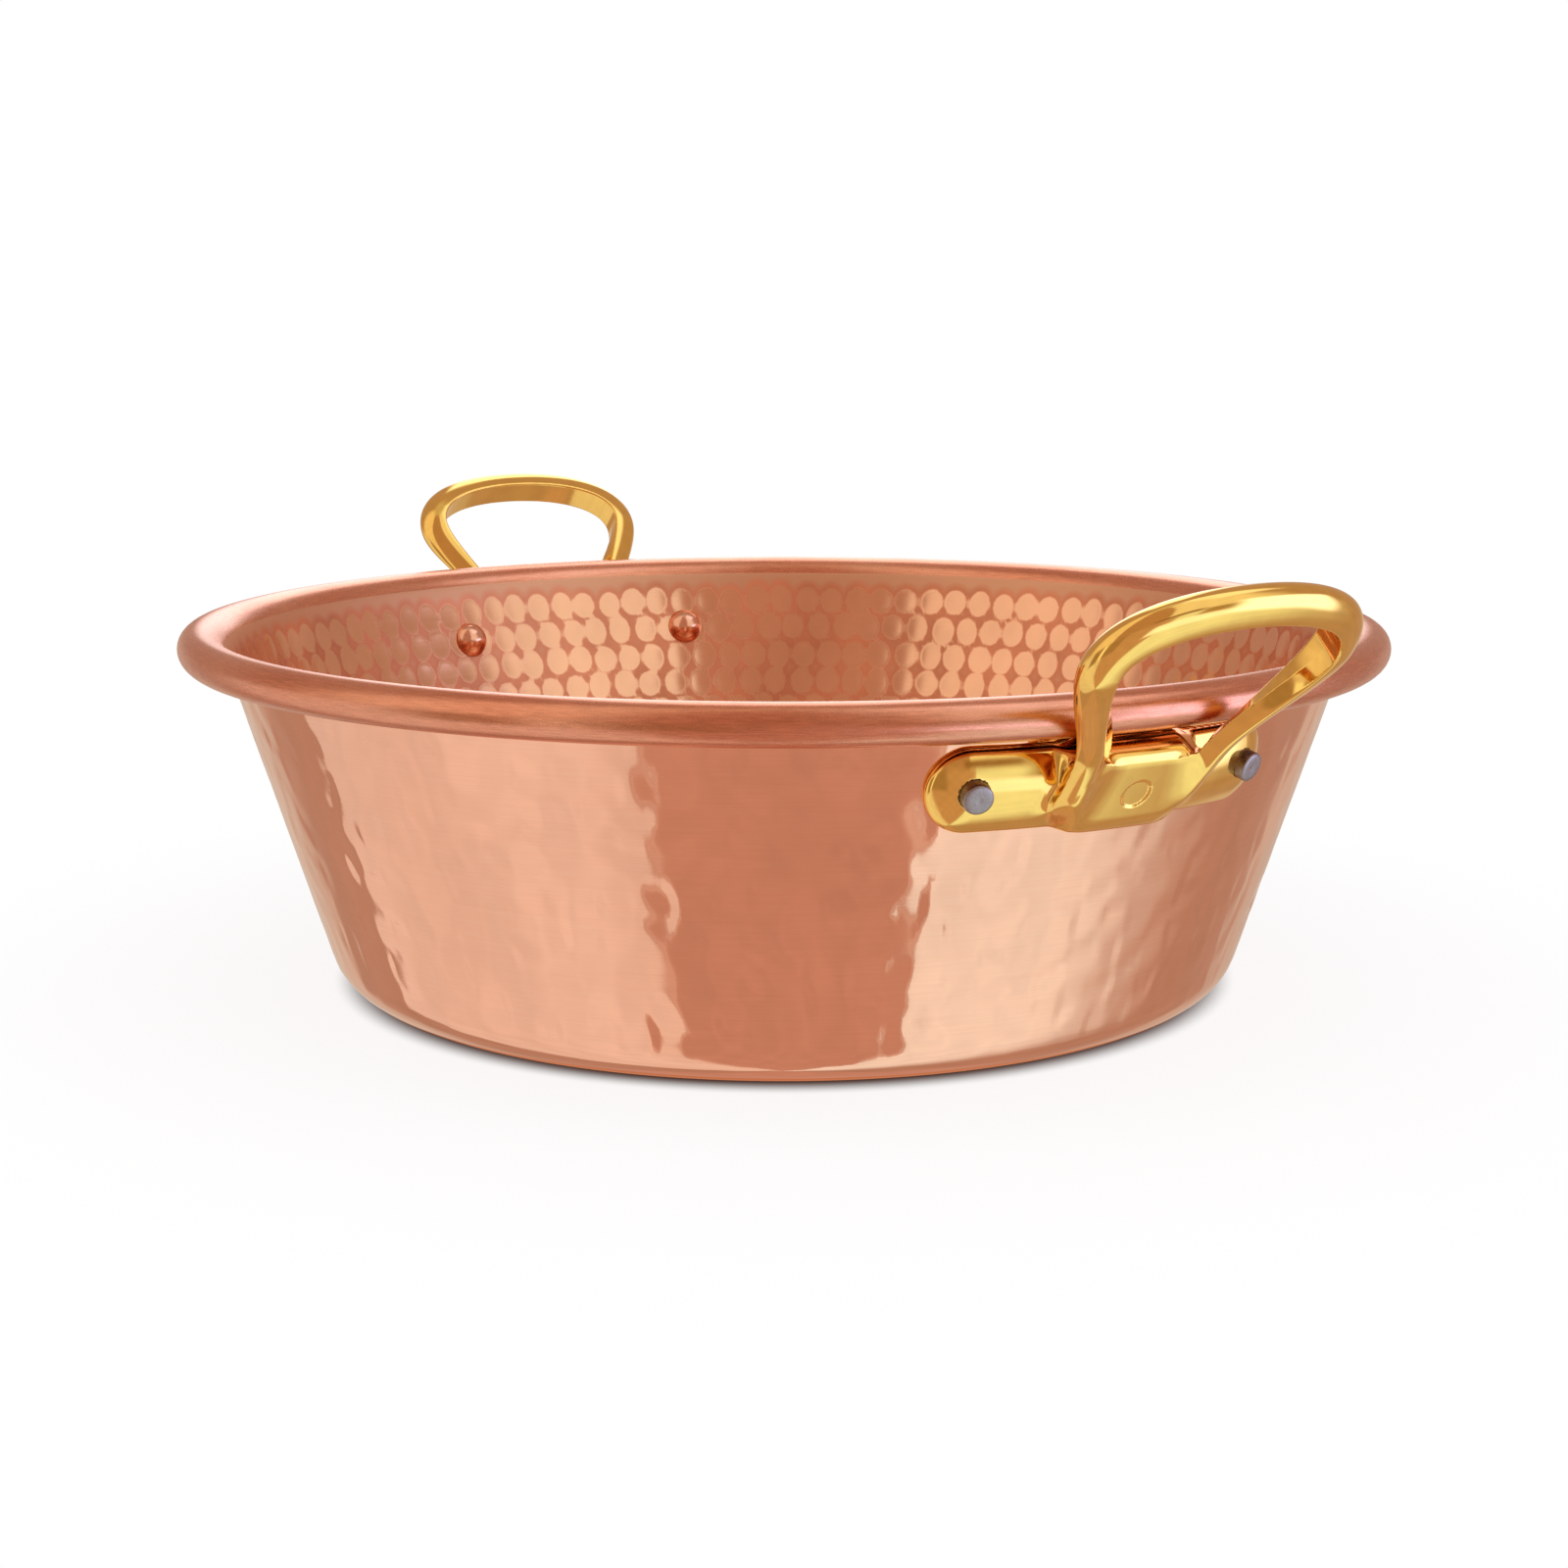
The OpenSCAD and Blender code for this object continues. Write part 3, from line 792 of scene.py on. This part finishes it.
class Nodes:
    """Short way to add and join the nodes of one material. Scales count cells in a metre."""

    def __init__(self, name):
        self.material = bpy.data.materials.new(name)
        self.material.use_nodes = True
        self.tree = self.material.node_tree
        self.shader = self.tree.nodes["Principled BSDF"]

    def add(self, kind, inputs=None, **settings):
        node = self.tree.nodes.new(kind)
        for key, value in settings.items():
            setattr(node, key, value)
        for key, value in (inputs or {}).items():
            self.put(node, key, value)
        return node

    def put(self, node, key, value):
        if isinstance(value, bpy.types.NodeSocket):
            self.tree.links.new(value, node.inputs[key])
        else:
            node.inputs[key].default_value = value

    def math(self, operation, a, b=0.5):
        return self.add("ShaderNodeMath", {0: a, 1: b}, operation=operation).outputs[0]

    def ramp(self, value, low, high, to_low=0.0, to_high=1.0):
        keys = {"Value": value, "From Min": low, "From Max": high, "To Min": to_low, "To Max": to_high}
        return self.add("ShaderNodeMapRange", keys).outputs[0]

    def blend(self, factor, a, b):
        node = self.add("ShaderNodeMix", data_type="RGBA")
        self.put(node, 0, factor)
        self.put(node, 6, a)
        self.put(node, 7, b)
        return node.outputs[2]

    def shades(self, value, low, high, colour_value, dark, light):
        """One colour, from a dark to a light level of it as value goes from low to high."""
        return self.blend(self.ramp(value, low, high), rgba(colour_value, dark), rgba(colour_value, light))

    def noise(self, vector, scale, detail=2.0, rough=0.5):
        keys = {"Vector": vector, "Scale": scale, "Detail": detail, "Roughness": rough}
        return self.add("ShaderNodeTexNoise", keys).outputs[0]

    def place(self):
        return self.add("ShaderNodeTexCoord").outputs["Object"]

    def stretched(self, scale):
        keys = {"Vector": self.place(), "Scale": scale}
        return self.add("ShaderNodeMapping", keys).outputs[0]

    def around(self, slow, fast):
        """Coordinates that run slowly round the pan's axis and fast across it."""
        split = self.add("ShaderNodeSeparateXYZ", {0: self.place()})
        x, y, z = split.outputs
        square = self.math("ADD", self.math("MULTIPLY", x, x), self.math("MULTIPLY", y, y))
        radius = self.math("SQRT", square)
        turn = self.math("MULTIPLY", self.math("ARCTAN2", y, x), slow)
        across = self.math("MULTIPLY", radius, fast)
        up = self.math("MULTIPLY", z, fast)
        return self.add("ShaderNodeCombineXYZ", {0: turn, 1: across, 2: up}).outputs[0]

    def bump(self, height, distance, strength=1.0):
        keys = {"Height": height, "Distance": distance, "Strength": strength}
        return self.add("ShaderNodeBump", keys).outputs[0]

    def metal(self, colour_value, roughness, normal=None):
        self.put(self.shader, "Metallic", 1.0)
        self.put(self.shader, "Base Color", colour_value)
        self.put(self.shader, "Roughness", roughness)
        if normal is not None:
            self.put(self.shader, "Normal", normal)
        return self.material


def rgba(value, level=1.0):
    return (*(min(1.0, c * level) for c in value), 1.0)


def copper_outside(finish):
    """Polished copper with faint turning lines and a slow drift of tone."""
    n = Nodes("copper_outside")
    lines = n.noise(n.around(6.0, 2600.0), 1.0, 3.0, 0.6)
    drift = n.noise(n.place(), 22.0, 2.0)
    tone = n.shades(drift, 0.35, 0.65, finish.outside, 0.955, 1.03)
    tone = n.blend(n.ramp(lines, 0.3, 0.7, 0.0, 0.20), tone, rgba(finish.rim, 1.15))
    rough = n.ramp(lines, 0.3, 0.7, 0.05, 0.09)
    return n.metal(tone, rough, n.bump(lines, 0.000003))


def copper_inside(finish):
    """Copper planished with a round hammer: smooth polished marks and rougher metal between them; the paler
    marks and the darker, redder metal between them are painted reflection.
    """
    n = Nodes("copper_inside")
    mark = n.add("ShaderNodeAttribute", attribute_name="mark").outputs["Fac"]
    wobble = n.noise(n.place(), 420.0, 2.0)
    edge = n.math("ADD", mark, n.ramp(wobble, 0.0, 1.0, -0.05, 0.05))
    mask = n.ramp(edge, 0.0, 0.13)
    drift = n.noise(n.place(), 35.0, 3.0)
    # Painted reflection: paler copper in the marks, darker and redder copper between them where the ridges
    # would mirror less light
    pale = n.shades(drift, 0.3, 0.7, finish.inside, 0.93, 1.05)
    painted_gap_shade = n.shades(drift, 0.3, 0.7, finish.gap, 0.9, 1.15)
    painted_gap_shade = n.blend(n.ramp(mark, -0.1, -0.55), painted_gap_shade, rgba(finish.inside, 0.86))
    lines = n.noise(n.around(8.0, 1800.0), 1.0, 3.0, 0.6)
    tone = n.blend(mask, painted_gap_shade, pale)
    rough = n.math("ADD", n.ramp(mask, 0.0, 1.0, 0.50, 0.17), n.ramp(lines, 0.3, 0.7, -0.03, 0.03))
    return n.metal(tone, rough, n.bump(n.ramp(edge, -0.05, 0.25), 0.00006, 0.5))


def copper_rim(finish):
    """Satin copper, rubbed round the roll in long streaks."""
    n = Nodes("copper_rim")
    streaks = n.noise(n.around(30.0, 2600.0), 1.0, 5.0, 0.7)
    fine = n.noise(n.around(200.0, 5000.0), 1.0, 3.0, 0.7)
    patches = n.noise(n.place(), 28.0, 3.0)
    tone = n.shades(streaks, 0.32, 0.68, finish.rim, 0.80, 1.22)
    tone = n.blend(n.ramp(patches, 0.4, 0.7, 0.0, 0.35), tone, rgba(finish.outside, 0.95))
    rough = n.ramp(fine, 0.3, 0.7, 0.20, 0.34)
    return n.metal(tone, rough, n.bump(fine, 0.00002, 0.7))


def cast_brass(finish):
    """Brass casting, polished by hand: soft waves of tone and a few fine scratches."""
    n = Nodes("cast_brass")
    waves = n.noise(n.place(), 160.0, 2.0)
    scratches = n.noise(n.stretched((900.0, 60.0, 500.0)), 1.0, 3.0, 0.7)
    tone = n.shades(waves, 0.35, 0.65, finish.brass, 0.97, 1.03)
    rough = n.ramp(scratches, 0.35, 0.7, 0.07, 0.13)
    return n.metal(tone, rough, n.bump(waves, 0.00002, 0.6))


def rivet_head(finish):
    """Copper coloured head with faint tool marks."""
    n = Nodes("rivet_head")
    marks = n.noise(n.place(), 900.0, 3.0)
    tone = n.shades(marks, 0.3, 0.7, finish.head, 0.92, 1.06)
    return n.metal(tone, n.ramp(marks, 0.3, 0.7, 0.14, 0.22), n.bump(marks, 0.00001))


def rivet_end(finish):
    """Grey metal of the shank's end, dulled by cutting."""
    n = Nodes("rivet_end")
    grain = n.noise(n.place(), 2400.0, 4.0, 0.7)
    patches = n.noise(n.place(), 500.0, 2.0)
    tone = n.shades(grain, 0.3, 0.7, finish.shank, 0.8, 1.2)
    return n.metal(tone, n.ramp(patches, 0.3, 0.7, 0.34, 0.50), n.bump(grain, 0.00002, 0.6))


def drawn_wire(finish):
    """Steel wire with drawing lines along it."""
    n = Nodes("drawn_wire")
    lines = n.noise(n.around(4.0, 4000.0), 1.0, 3.0, 0.6)
    tone = n.shades(lines, 0.3, 0.7, finish.wire, 0.85, 1.1)
    return n.metal(tone, n.ramp(lines, 0.3, 0.7, 0.28, 0.42), n.bump(lines, 0.00002))


# Studio


def stage_reflection(obj):
    """Puts a thing on the stage that only the metal sees."""
    obj.visible_camera = False
    obj.visible_diffuse = False
    obj.visible_shadow = False
    obj.visible_transmission = False
    obj.visible_volume_scatter = False


def between(x, low, high, low_soft, high_soft):
    """1 between low and high, falling softly to 0 beyond them; all in degrees."""
    return ease(0.5 + (x - low) / low_soft) * ease(0.5 + (high - x) / high_soft)


# The tent's cloth, how much its folds shade it, and how many folds it has round it and up it
TENT_CLOTH = (0.54, 0.36, 0.28)
FOLD_DEPTH, FOLDS_ROUND, FOLDS_UP = 0.05, 18, 22
# Panels, named by place or by what mirrors them: bearings, rises, softness of sides, of ends, and light.
# Angles are in degrees, off the camera's side and over the horizon. A later panel covers earlier ones.
TENT_PANELS = {
    "dark ahead, low": ((-33, 35), (-99, 5), (1, 1), (1, 18), (0.64, 0.40, 0.32)),
    "dark ahead, high": ((-31, 26), (5, 99), (1, 1), (18, 1), (0.54, 0.31, 0.22)),
    "left wall": ((-118, -33), (-99, 5), (2, 0.8), (1, 18), (0.92, 0.83, 0.78)),
    "left wall, middle": ((-80, -44), (-99, 5), (30, 14), (1, 18), (0.97, 0.90, 0.86)),
    "right wall": ((35, 92), (-99, 5), (0.8, 50), (1, 18), (1.06, 1.18, 1.20)),
    "left seam": ((-32, -30.8), (-99, 5), (0.6, 0.6), (1, 18), (0.80, 0.60, 0.52)),
    "right seam": ((32.6, 33.8), (-99, 5), (0.6, 0.6), (1, 18), (0.82, 0.66, 0.58)),
    "left bowl": ((-92, -33), (5, 99), (24, 2), (18, 1), (1.03, 0.84, 0.68)),
    "right bowl": ((27, 78), (5, 99), (2, 24), (18, 1), (1.05, 0.96, 0.86)),
    "floor behind, right": ((149, 185), (-99, -50), (1, 1), (1, 8), (0.64, 0.40, 0.32)),
    "floor behind, left": ((-185, -154), (-99, -50), (1, 1), (1, 8), (0.64, 0.40, 0.32)),
    "ear top": ((18, 46), (4, 12), (8, 4), (8, 6), (0.36, 0.20, 0.10)),
    "rear loop": ((47, 60), (-20, 6), (4, 8), (6, 8), (0.50, 0.34, 0.20)),
    "ear middle": ((26, 62), (-30, -12), (6, 10), (5, 8), (1.55, 1.55, 2.00)),
    "left leg": ((-70, -8), (-28, 6), (12, 8), (8, 8), (0.44, 0.28, 0.17)),
    "left leg, edge": ((-46, -36), (-28, 6), (4, 4), (6, 6), (1.20, 1.10, 0.95)),
    "bar": ((62, 98), (-24, 15), (8, 10), (10, 8), (2.10, 2.15, 3.20)),
    "bar top": ((60, 110), (46, 80), (14, 20), (8, 8), (1.35, 1.32, 1.40)),
    "behind, right, low": ((140, 185), (-40, 3), (10, 1), (12, 6), (0.66, 0.52, 0.42)),
    "behind, right, high": ((169, 185), (8, 60), (8, 1), (6, 12), (2.00, 2.00, 2.10)),
    "behind, left, low": ((-185, -140), (-40, 3), (1, 10), (12, 6), (0.70, 0.58, 0.48)),
    "behind, left, high": ((-185, -166), (8, 60), (1, 8), (6, 12), (2.00, 2.00, 2.10)),
    "overhead": ((-185, 185), (80, 99), (1, 1), (10, 1), (0.70, 0.58, 0.44)),
}


def tent_light(bearing, rise):
    """What the tent shows at each bearing off the camera's side and rise over the horizon, in degrees."""
    light = np.tile(TENT_CLOTH, (len(bearing), 1))
    for sides, ends, side_soft, end_soft, tone in TENT_PANELS.values():
        laid = between(bearing, *sides, *side_soft) * between(rise, *ends, *end_soft)
        light = mix(light, np.array(tone), laid[:, None])
    folds = np.sin(np.radians(FOLDS_ROUND * bearing)) * np.cos(np.radians(FOLDS_UP * rise))
    return light * (1 + FOLD_DEPTH * folds)[:, None]


def glow_material(name):
    """A material that only glows, and its glow node."""
    material = bpy.data.materials.new(name)
    material.use_nodes = True
    tree = material.node_tree
    tree.nodes.clear()
    glow = tree.nodes.new("ShaderNodeEmission")
    out = tree.nodes.new("ShaderNodeOutputMaterial")
    tree.links.new(glow.outputs[0], out.inputs[0])
    return material, glow


def light_tent(studio):
    """A wide round tent of cloth with panels, which only the metal sees."""
    columns, rows, pole = 720, 180, 89
    turn = np.linspace(-180, 180, columns + 1)[:-1]
    rise = np.linspace(-pole, pole, rows)
    b, e = [grid.ravel() for grid in np.meshgrid(turn, rise)]
    spot = np.radians(b) + studio.azimuth - math.pi / 2
    flat = studio.tent_radius * np.cos(np.radians(e))
    points = np.c_[flat * np.cos(spot), flat * np.sin(spot), studio.tent_radius * np.sin(np.radians(e))]
    faces = []
    for i in range(rows - 1):
        faces += ring_faces(i * columns, columns, (i + 1) * columns, columns)
    faces += [list(range(columns)), list(range((rows - 1) * columns, rows * columns))]
    material, glow = glow_material("tent_cloth")
    tone = material.node_tree.nodes.new("ShaderNodeAttribute")
    tone.attribute_name = "light"
    material.node_tree.links.new(tone.outputs["Color"], glow.inputs["Color"])
    tent = new_object("light_tent", points, faces, [material])
    light = np.c_[tent_light(b, e), np.ones(len(b))]
    attribute = tent.data.attributes.new("light", "FLOAT_COLOR", "POINT")
    attribute.data.foreach_set("color", light.ravel().astype(np.float32))
    stage_reflection(tent)


def contact_shadow(studio):
    """A painted contact shadow: a dark glowing disc on the floor under the pan, which only the metal sees.
    """
    middle, lift, segments = 0.01, 0.0001, 180
    points, faces = lathe([(middle, 2 * lift), (studio.shadow_radius, lift)], segments)
    material, glow = glow_material("contact_shadow")
    glow.inputs["Color"].default_value = rgba(studio.shadow_tone)
    stage_reflection(new_object("contact_shadow", points, faces, [material]))


def floor_material(studio):
    """Pale floor that keeps the pan's soft shadow, with a painted contact shadow besides: its glow is dark
    close to where the pan stands.
    """
    material = bpy.data.materials.new("floor")
    material.use_nodes = True
    tree = material.node_tree
    tree.nodes.clear()

    def add(kind, **inputs):
        node = tree.nodes.new(kind)
        for key, value in inputs.items():
            node.inputs[key.replace("_", " ")].default_value = value
        return node

    place = add("ShaderNodeTexCoord")
    radius = tree.nodes.new("ShaderNodeVectorMath")
    radius.operation = "LENGTH"
    # Painted contact shadow: the floor's glow falls to its darkest level in a ring round the pan's base
    start, end = studio.shadow_radius - studio.shadow_inside, studio.shadow_radius + studio.shadow_outside
    levels = {"To_Min": studio.floor_painted_shadow, "To_Max": studio.floor_glow}
    near = add("ShaderNodeMapRange", From_Min=start, From_Max=end, **levels)
    near.interpolation_type = "SMOOTHSTEP"
    diffuse = add("ShaderNodeBsdfDiffuse", Color=rgba((studio.floor_white,) * 3))
    glow, both, out = add("ShaderNodeEmission"), add("ShaderNodeAddShader"), add("ShaderNodeOutputMaterial")
    tree.links.new(place.outputs["Object"], radius.inputs[0])
    tree.links.new(radius.outputs["Value"], near.inputs["Value"])
    tree.links.new(near.outputs[0], glow.inputs["Strength"])
    tree.links.new(diffuse.outputs[0], both.inputs[0])
    tree.links.new(glow.outputs[0], both.inputs[1])
    tree.links.new(both.outputs[0], out.inputs[0])
    return material


def white_world(level):
    """White where the camera and the metal see it, and softer as a light."""
    world = bpy.data.worlds.new("studio")
    bpy.context.scene.world = world
    world.use_nodes = True
    tree = world.node_tree
    background = tree.nodes["Background"]
    background.inputs["Color"].default_value = (1, 1, 1, 1)
    path = tree.nodes.new("ShaderNodeLightPath")
    seen = path.outputs["Is Camera Ray"]
    for name in ("Is Glossy Ray", "Is Transmission Ray"):
        add = tree.nodes.new("ShaderNodeMath")
        add.operation = "MAXIMUM"
        tree.links.new(seen, add.inputs[0])
        tree.links.new(path.outputs[name], add.inputs[1])
        seen = add.outputs[0]
    strength = tree.nodes.new("ShaderNodeMapRange")
    strength.inputs["To Min"].default_value = level
    strength.inputs["To Max"].default_value = 1.0
    tree.links.new(seen, strength.inputs["Value"])
    tree.links.new(strength.outputs[0], background.inputs["Strength"])


def soft_sun(name, studio, bearing):
    """A wide soft lamp, far off at a bearing from the camera's side."""
    lamp = bpy.data.lights.new(name, "SUN")
    lamp.angle = studio.lamp_width
    lamp.energy = studio.lamp_power
    obj = bpy.data.objects.new(name, lamp)
    turn, lift = bearing + studio.azimuth - math.pi / 2, studio.lamp_rise
    back = Vector((math.cos(turn) * math.cos(lift), math.sin(turn) * math.cos(lift), math.sin(lift)))
    obj.location = back
    obj.rotation_euler = (-back).to_track_quat("-Z", "Y").to_euler()
    obj.visible_glossy = False
    bpy.context.scene.collection.objects.link(obj)


# Operators


class JAMPAN_OT_shell(Operator):
    """Make the hammered copper shell with its rolled rim"""

    bl_idname = "jampan.shell"
    bl_label = "Copper Shell"

    def execute(self, context):
        pan = context.scene.jampan
        metals = [copper_inside(pan.finish), copper_rim(pan.finish), copper_outside(pan.finish)]
        shell = build_shell("copper_shell", pan.shell, pan.marks, metals)
        finish_piece(shell, "copper_shell", "pan_body")
        return {"FINISHED"}


class JAMPAN_OT_wire(Operator):
    """Give the wire inside the rim its drawn steel"""

    bl_idname = "jampan.wire"
    bl_label = "Rim Wire"

    def execute(self, context):
        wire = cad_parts["rim_wire"]
        wire.data.materials.clear()
        wire.data.materials.append(drawn_wire(context.scene.jampan.finish))
        return {"FINISHED"}


class JAMPAN_OT_handles(Operator):
    """Make both cast brass handles"""

    bl_idname = "jampan.handles"
    bl_label = "Brass Handles"

    def execute(self, context):
        pan = context.scene.jampan
        casting = Casting(Shell(pan.shell), pan.handle, pan.rivet)
        low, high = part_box("front_handle")
        margin = 2 * pan.handle.grain
        low = [c - margin for c in low]
        high = [c + margin for c in high]
        points, faces, normals = cast_skin(casting, low, high, pan.handle.grain)
        brass = cast_brass(pan.finish)
        for name, turn in (("front_handle", 0.0), ("rear_handle", math.pi - pan.handle.rear_turn)):
            handle = new_object("brass_" + name, points, faces.tolist(), [brass])
            spin = Matrix.Rotation(turn, 4, "Z")
            handle.data.transform(spin)
            turned = normals @ np.array(spin.to_3x3()).T
            handle.data.normals_split_custom_set_from_vertices(turned.tolist())
            finish_piece(handle, "cast_brass", name)
        return {"FINISHED"}


class JAMPAN_OT_rivets(Operator):
    """Make the four rivets, with domed heads inside and ringed ends outside"""

    bl_idname = "jampan.rivets"
    bl_label = "Rivets"

    def execute(self, context):
        pan = context.scene.jampan
        shell = Shell(pan.shell)
        casting = Casting(shell, pan.handle, pan.rivet)
        profile = rivet_profile(pan.rivet, pan.shell.sheet, pan.handle.plate)
        points, faces = lathe(profile, RIVET_SEGMENTS)
        metals = [rivet_head(pan.finish), rivet_end(pan.finish)]
        spread = pan.handle.rivet_span / 2 / casting.rivet_r
        for end, turn in (("front", 0.0), ("rear", math.pi - pan.handle.rear_turn)):
            for side, sign in (("left", -1), ("right", 1)):
                name = f"{end}_{side}_rivet"
                rivet = new_object("forged_" + name, points, faces, metals)
                outside = [p.center.z > -pan.shell.sheet / 2 for p in rivet.data.polygons]
                rivet.data.polygons.foreach_set("material_index", [int(o) for o in outside])
                place = Matrix.Rotation(turn + sign * spread, 4, "Z")
                place = place @ Matrix.Translation((casting.rivet_r, 0, casting.rivet_z))
                place = place @ Matrix.Rotation(math.pi / 2 + shell.lean, 4, "Y")
                rivet.data.transform(place)
                finish_piece(rivet, "rivet_metal", name)
        return {"FINISHED"}


class JAMPAN_OT_studio(Operator):
    """Set up the pale floor, the soft light, the tent and the camera"""

    bl_idname = "jampan.studio"
    bl_label = "Studio"

    def execute(self, context):
        studio = context.scene.jampan.studio
        scene = context.scene
        scene.view_settings.view_transform = "Standard"
        white_world(studio.ambient)
        reach = studio.floor_reach
        corners = [(-reach, -reach, 0), (reach, -reach, 0), (reach, reach, 0), (-reach, reach, 0)]
        floor = new_object("floor", corners, [[0, 1, 2, 3]], [floor_material(studio)])
        floor.visible_glossy = False
        light_tent(studio)
        contact_shadow(studio)
        soft_sun("lamp_left", studio, -studio.lamp_bearing)
        soft_sun("lamp_right", studio, studio.lamp_bearing)
        lens = bpy.data.cameras.new("camera")
        lens.lens = studio.lens
        lens.sensor_width = 36.0
        lens.clip_start = 0.01
        camera = bpy.data.objects.new("camera", lens)
        scene.collection.objects.link(camera)
        back = Vector((math.sin(studio.azimuth), -math.cos(studio.azimuth), 0))
        camera.location = back * studio.distance + Vector((0, 0, studio.camera_height))
        aim = -back * math.cos(studio.pitch) - Vector((0, 0, math.sin(studio.pitch)))
        camera.rotation_euler = aim.to_track_quat("-Z", "Y").to_euler()
        scene.camera = camera
        return {"FINISHED"}


class JAMPAN_PG_pan(PropertyGroup):
    """All settings of the pan."""

    shell: PointerProperty(type=JAMPAN_PG_shell)
    marks: PointerProperty(type=JAMPAN_PG_marks)
    handle: PointerProperty(type=JAMPAN_PG_handle)
    rivet: PointerProperty(type=JAMPAN_PG_rivet)
    finish: PointerProperty(type=JAMPAN_PG_finish)
    studio: PointerProperty(type=JAMPAN_PG_studio)


STEPS = (JAMPAN_OT_studio, JAMPAN_OT_shell, JAMPAN_OT_wire, JAMPAN_OT_handles, JAMPAN_OT_rivets)


class JAMPAN_PT_panel(Panel):
    """Lists the steps and settings of the jam pan"""

    bl_idname = "JAMPAN_PT_panel"
    bl_label = "Jam Pan"
    bl_space_type = "VIEW_3D"
    bl_region_type = "UI"
    bl_category = "Jam Pan"

    def draw(self, context):
        for step in STEPS:
            self.layout.operator(step.bl_idname)
        for group in ("shell", "marks", "handle", "rivet", "finish", "studio"):
            box = self.layout.box()
            box.label(text=group.capitalize())
            settings = getattr(context.scene.jampan, group)
            for name in settings.__annotations__:
                box.prop(settings, name, text=name.replace("_", " ").capitalize())


GROUPS = (
    JAMPAN_PG_shell,
    JAMPAN_PG_marks,
    JAMPAN_PG_handle,
    JAMPAN_PG_rivet,
    JAMPAN_PG_finish,
    JAMPAN_PG_studio,
    JAMPAN_PG_pan,
)
CLASSES = (*GROUPS, *STEPS, JAMPAN_PT_panel)


def register():
    for cls in CLASSES:
        bpy.utils.register_class(cls)
    bpy.types.Scene.jampan = PointerProperty(type=JAMPAN_PG_pan)


def unregister():
    del bpy.types.Scene.jampan
    for cls in reversed(CLASSES):
        bpy.utils.unregister_class(cls)


def main():
    register()
    bpy.ops.jampan.studio()
    bpy.ops.jampan.shell()
    bpy.ops.jampan.wire()
    bpy.ops.jampan.handles()
    bpy.ops.jampan.rivets()


if __name__ == "__main__":
    main()
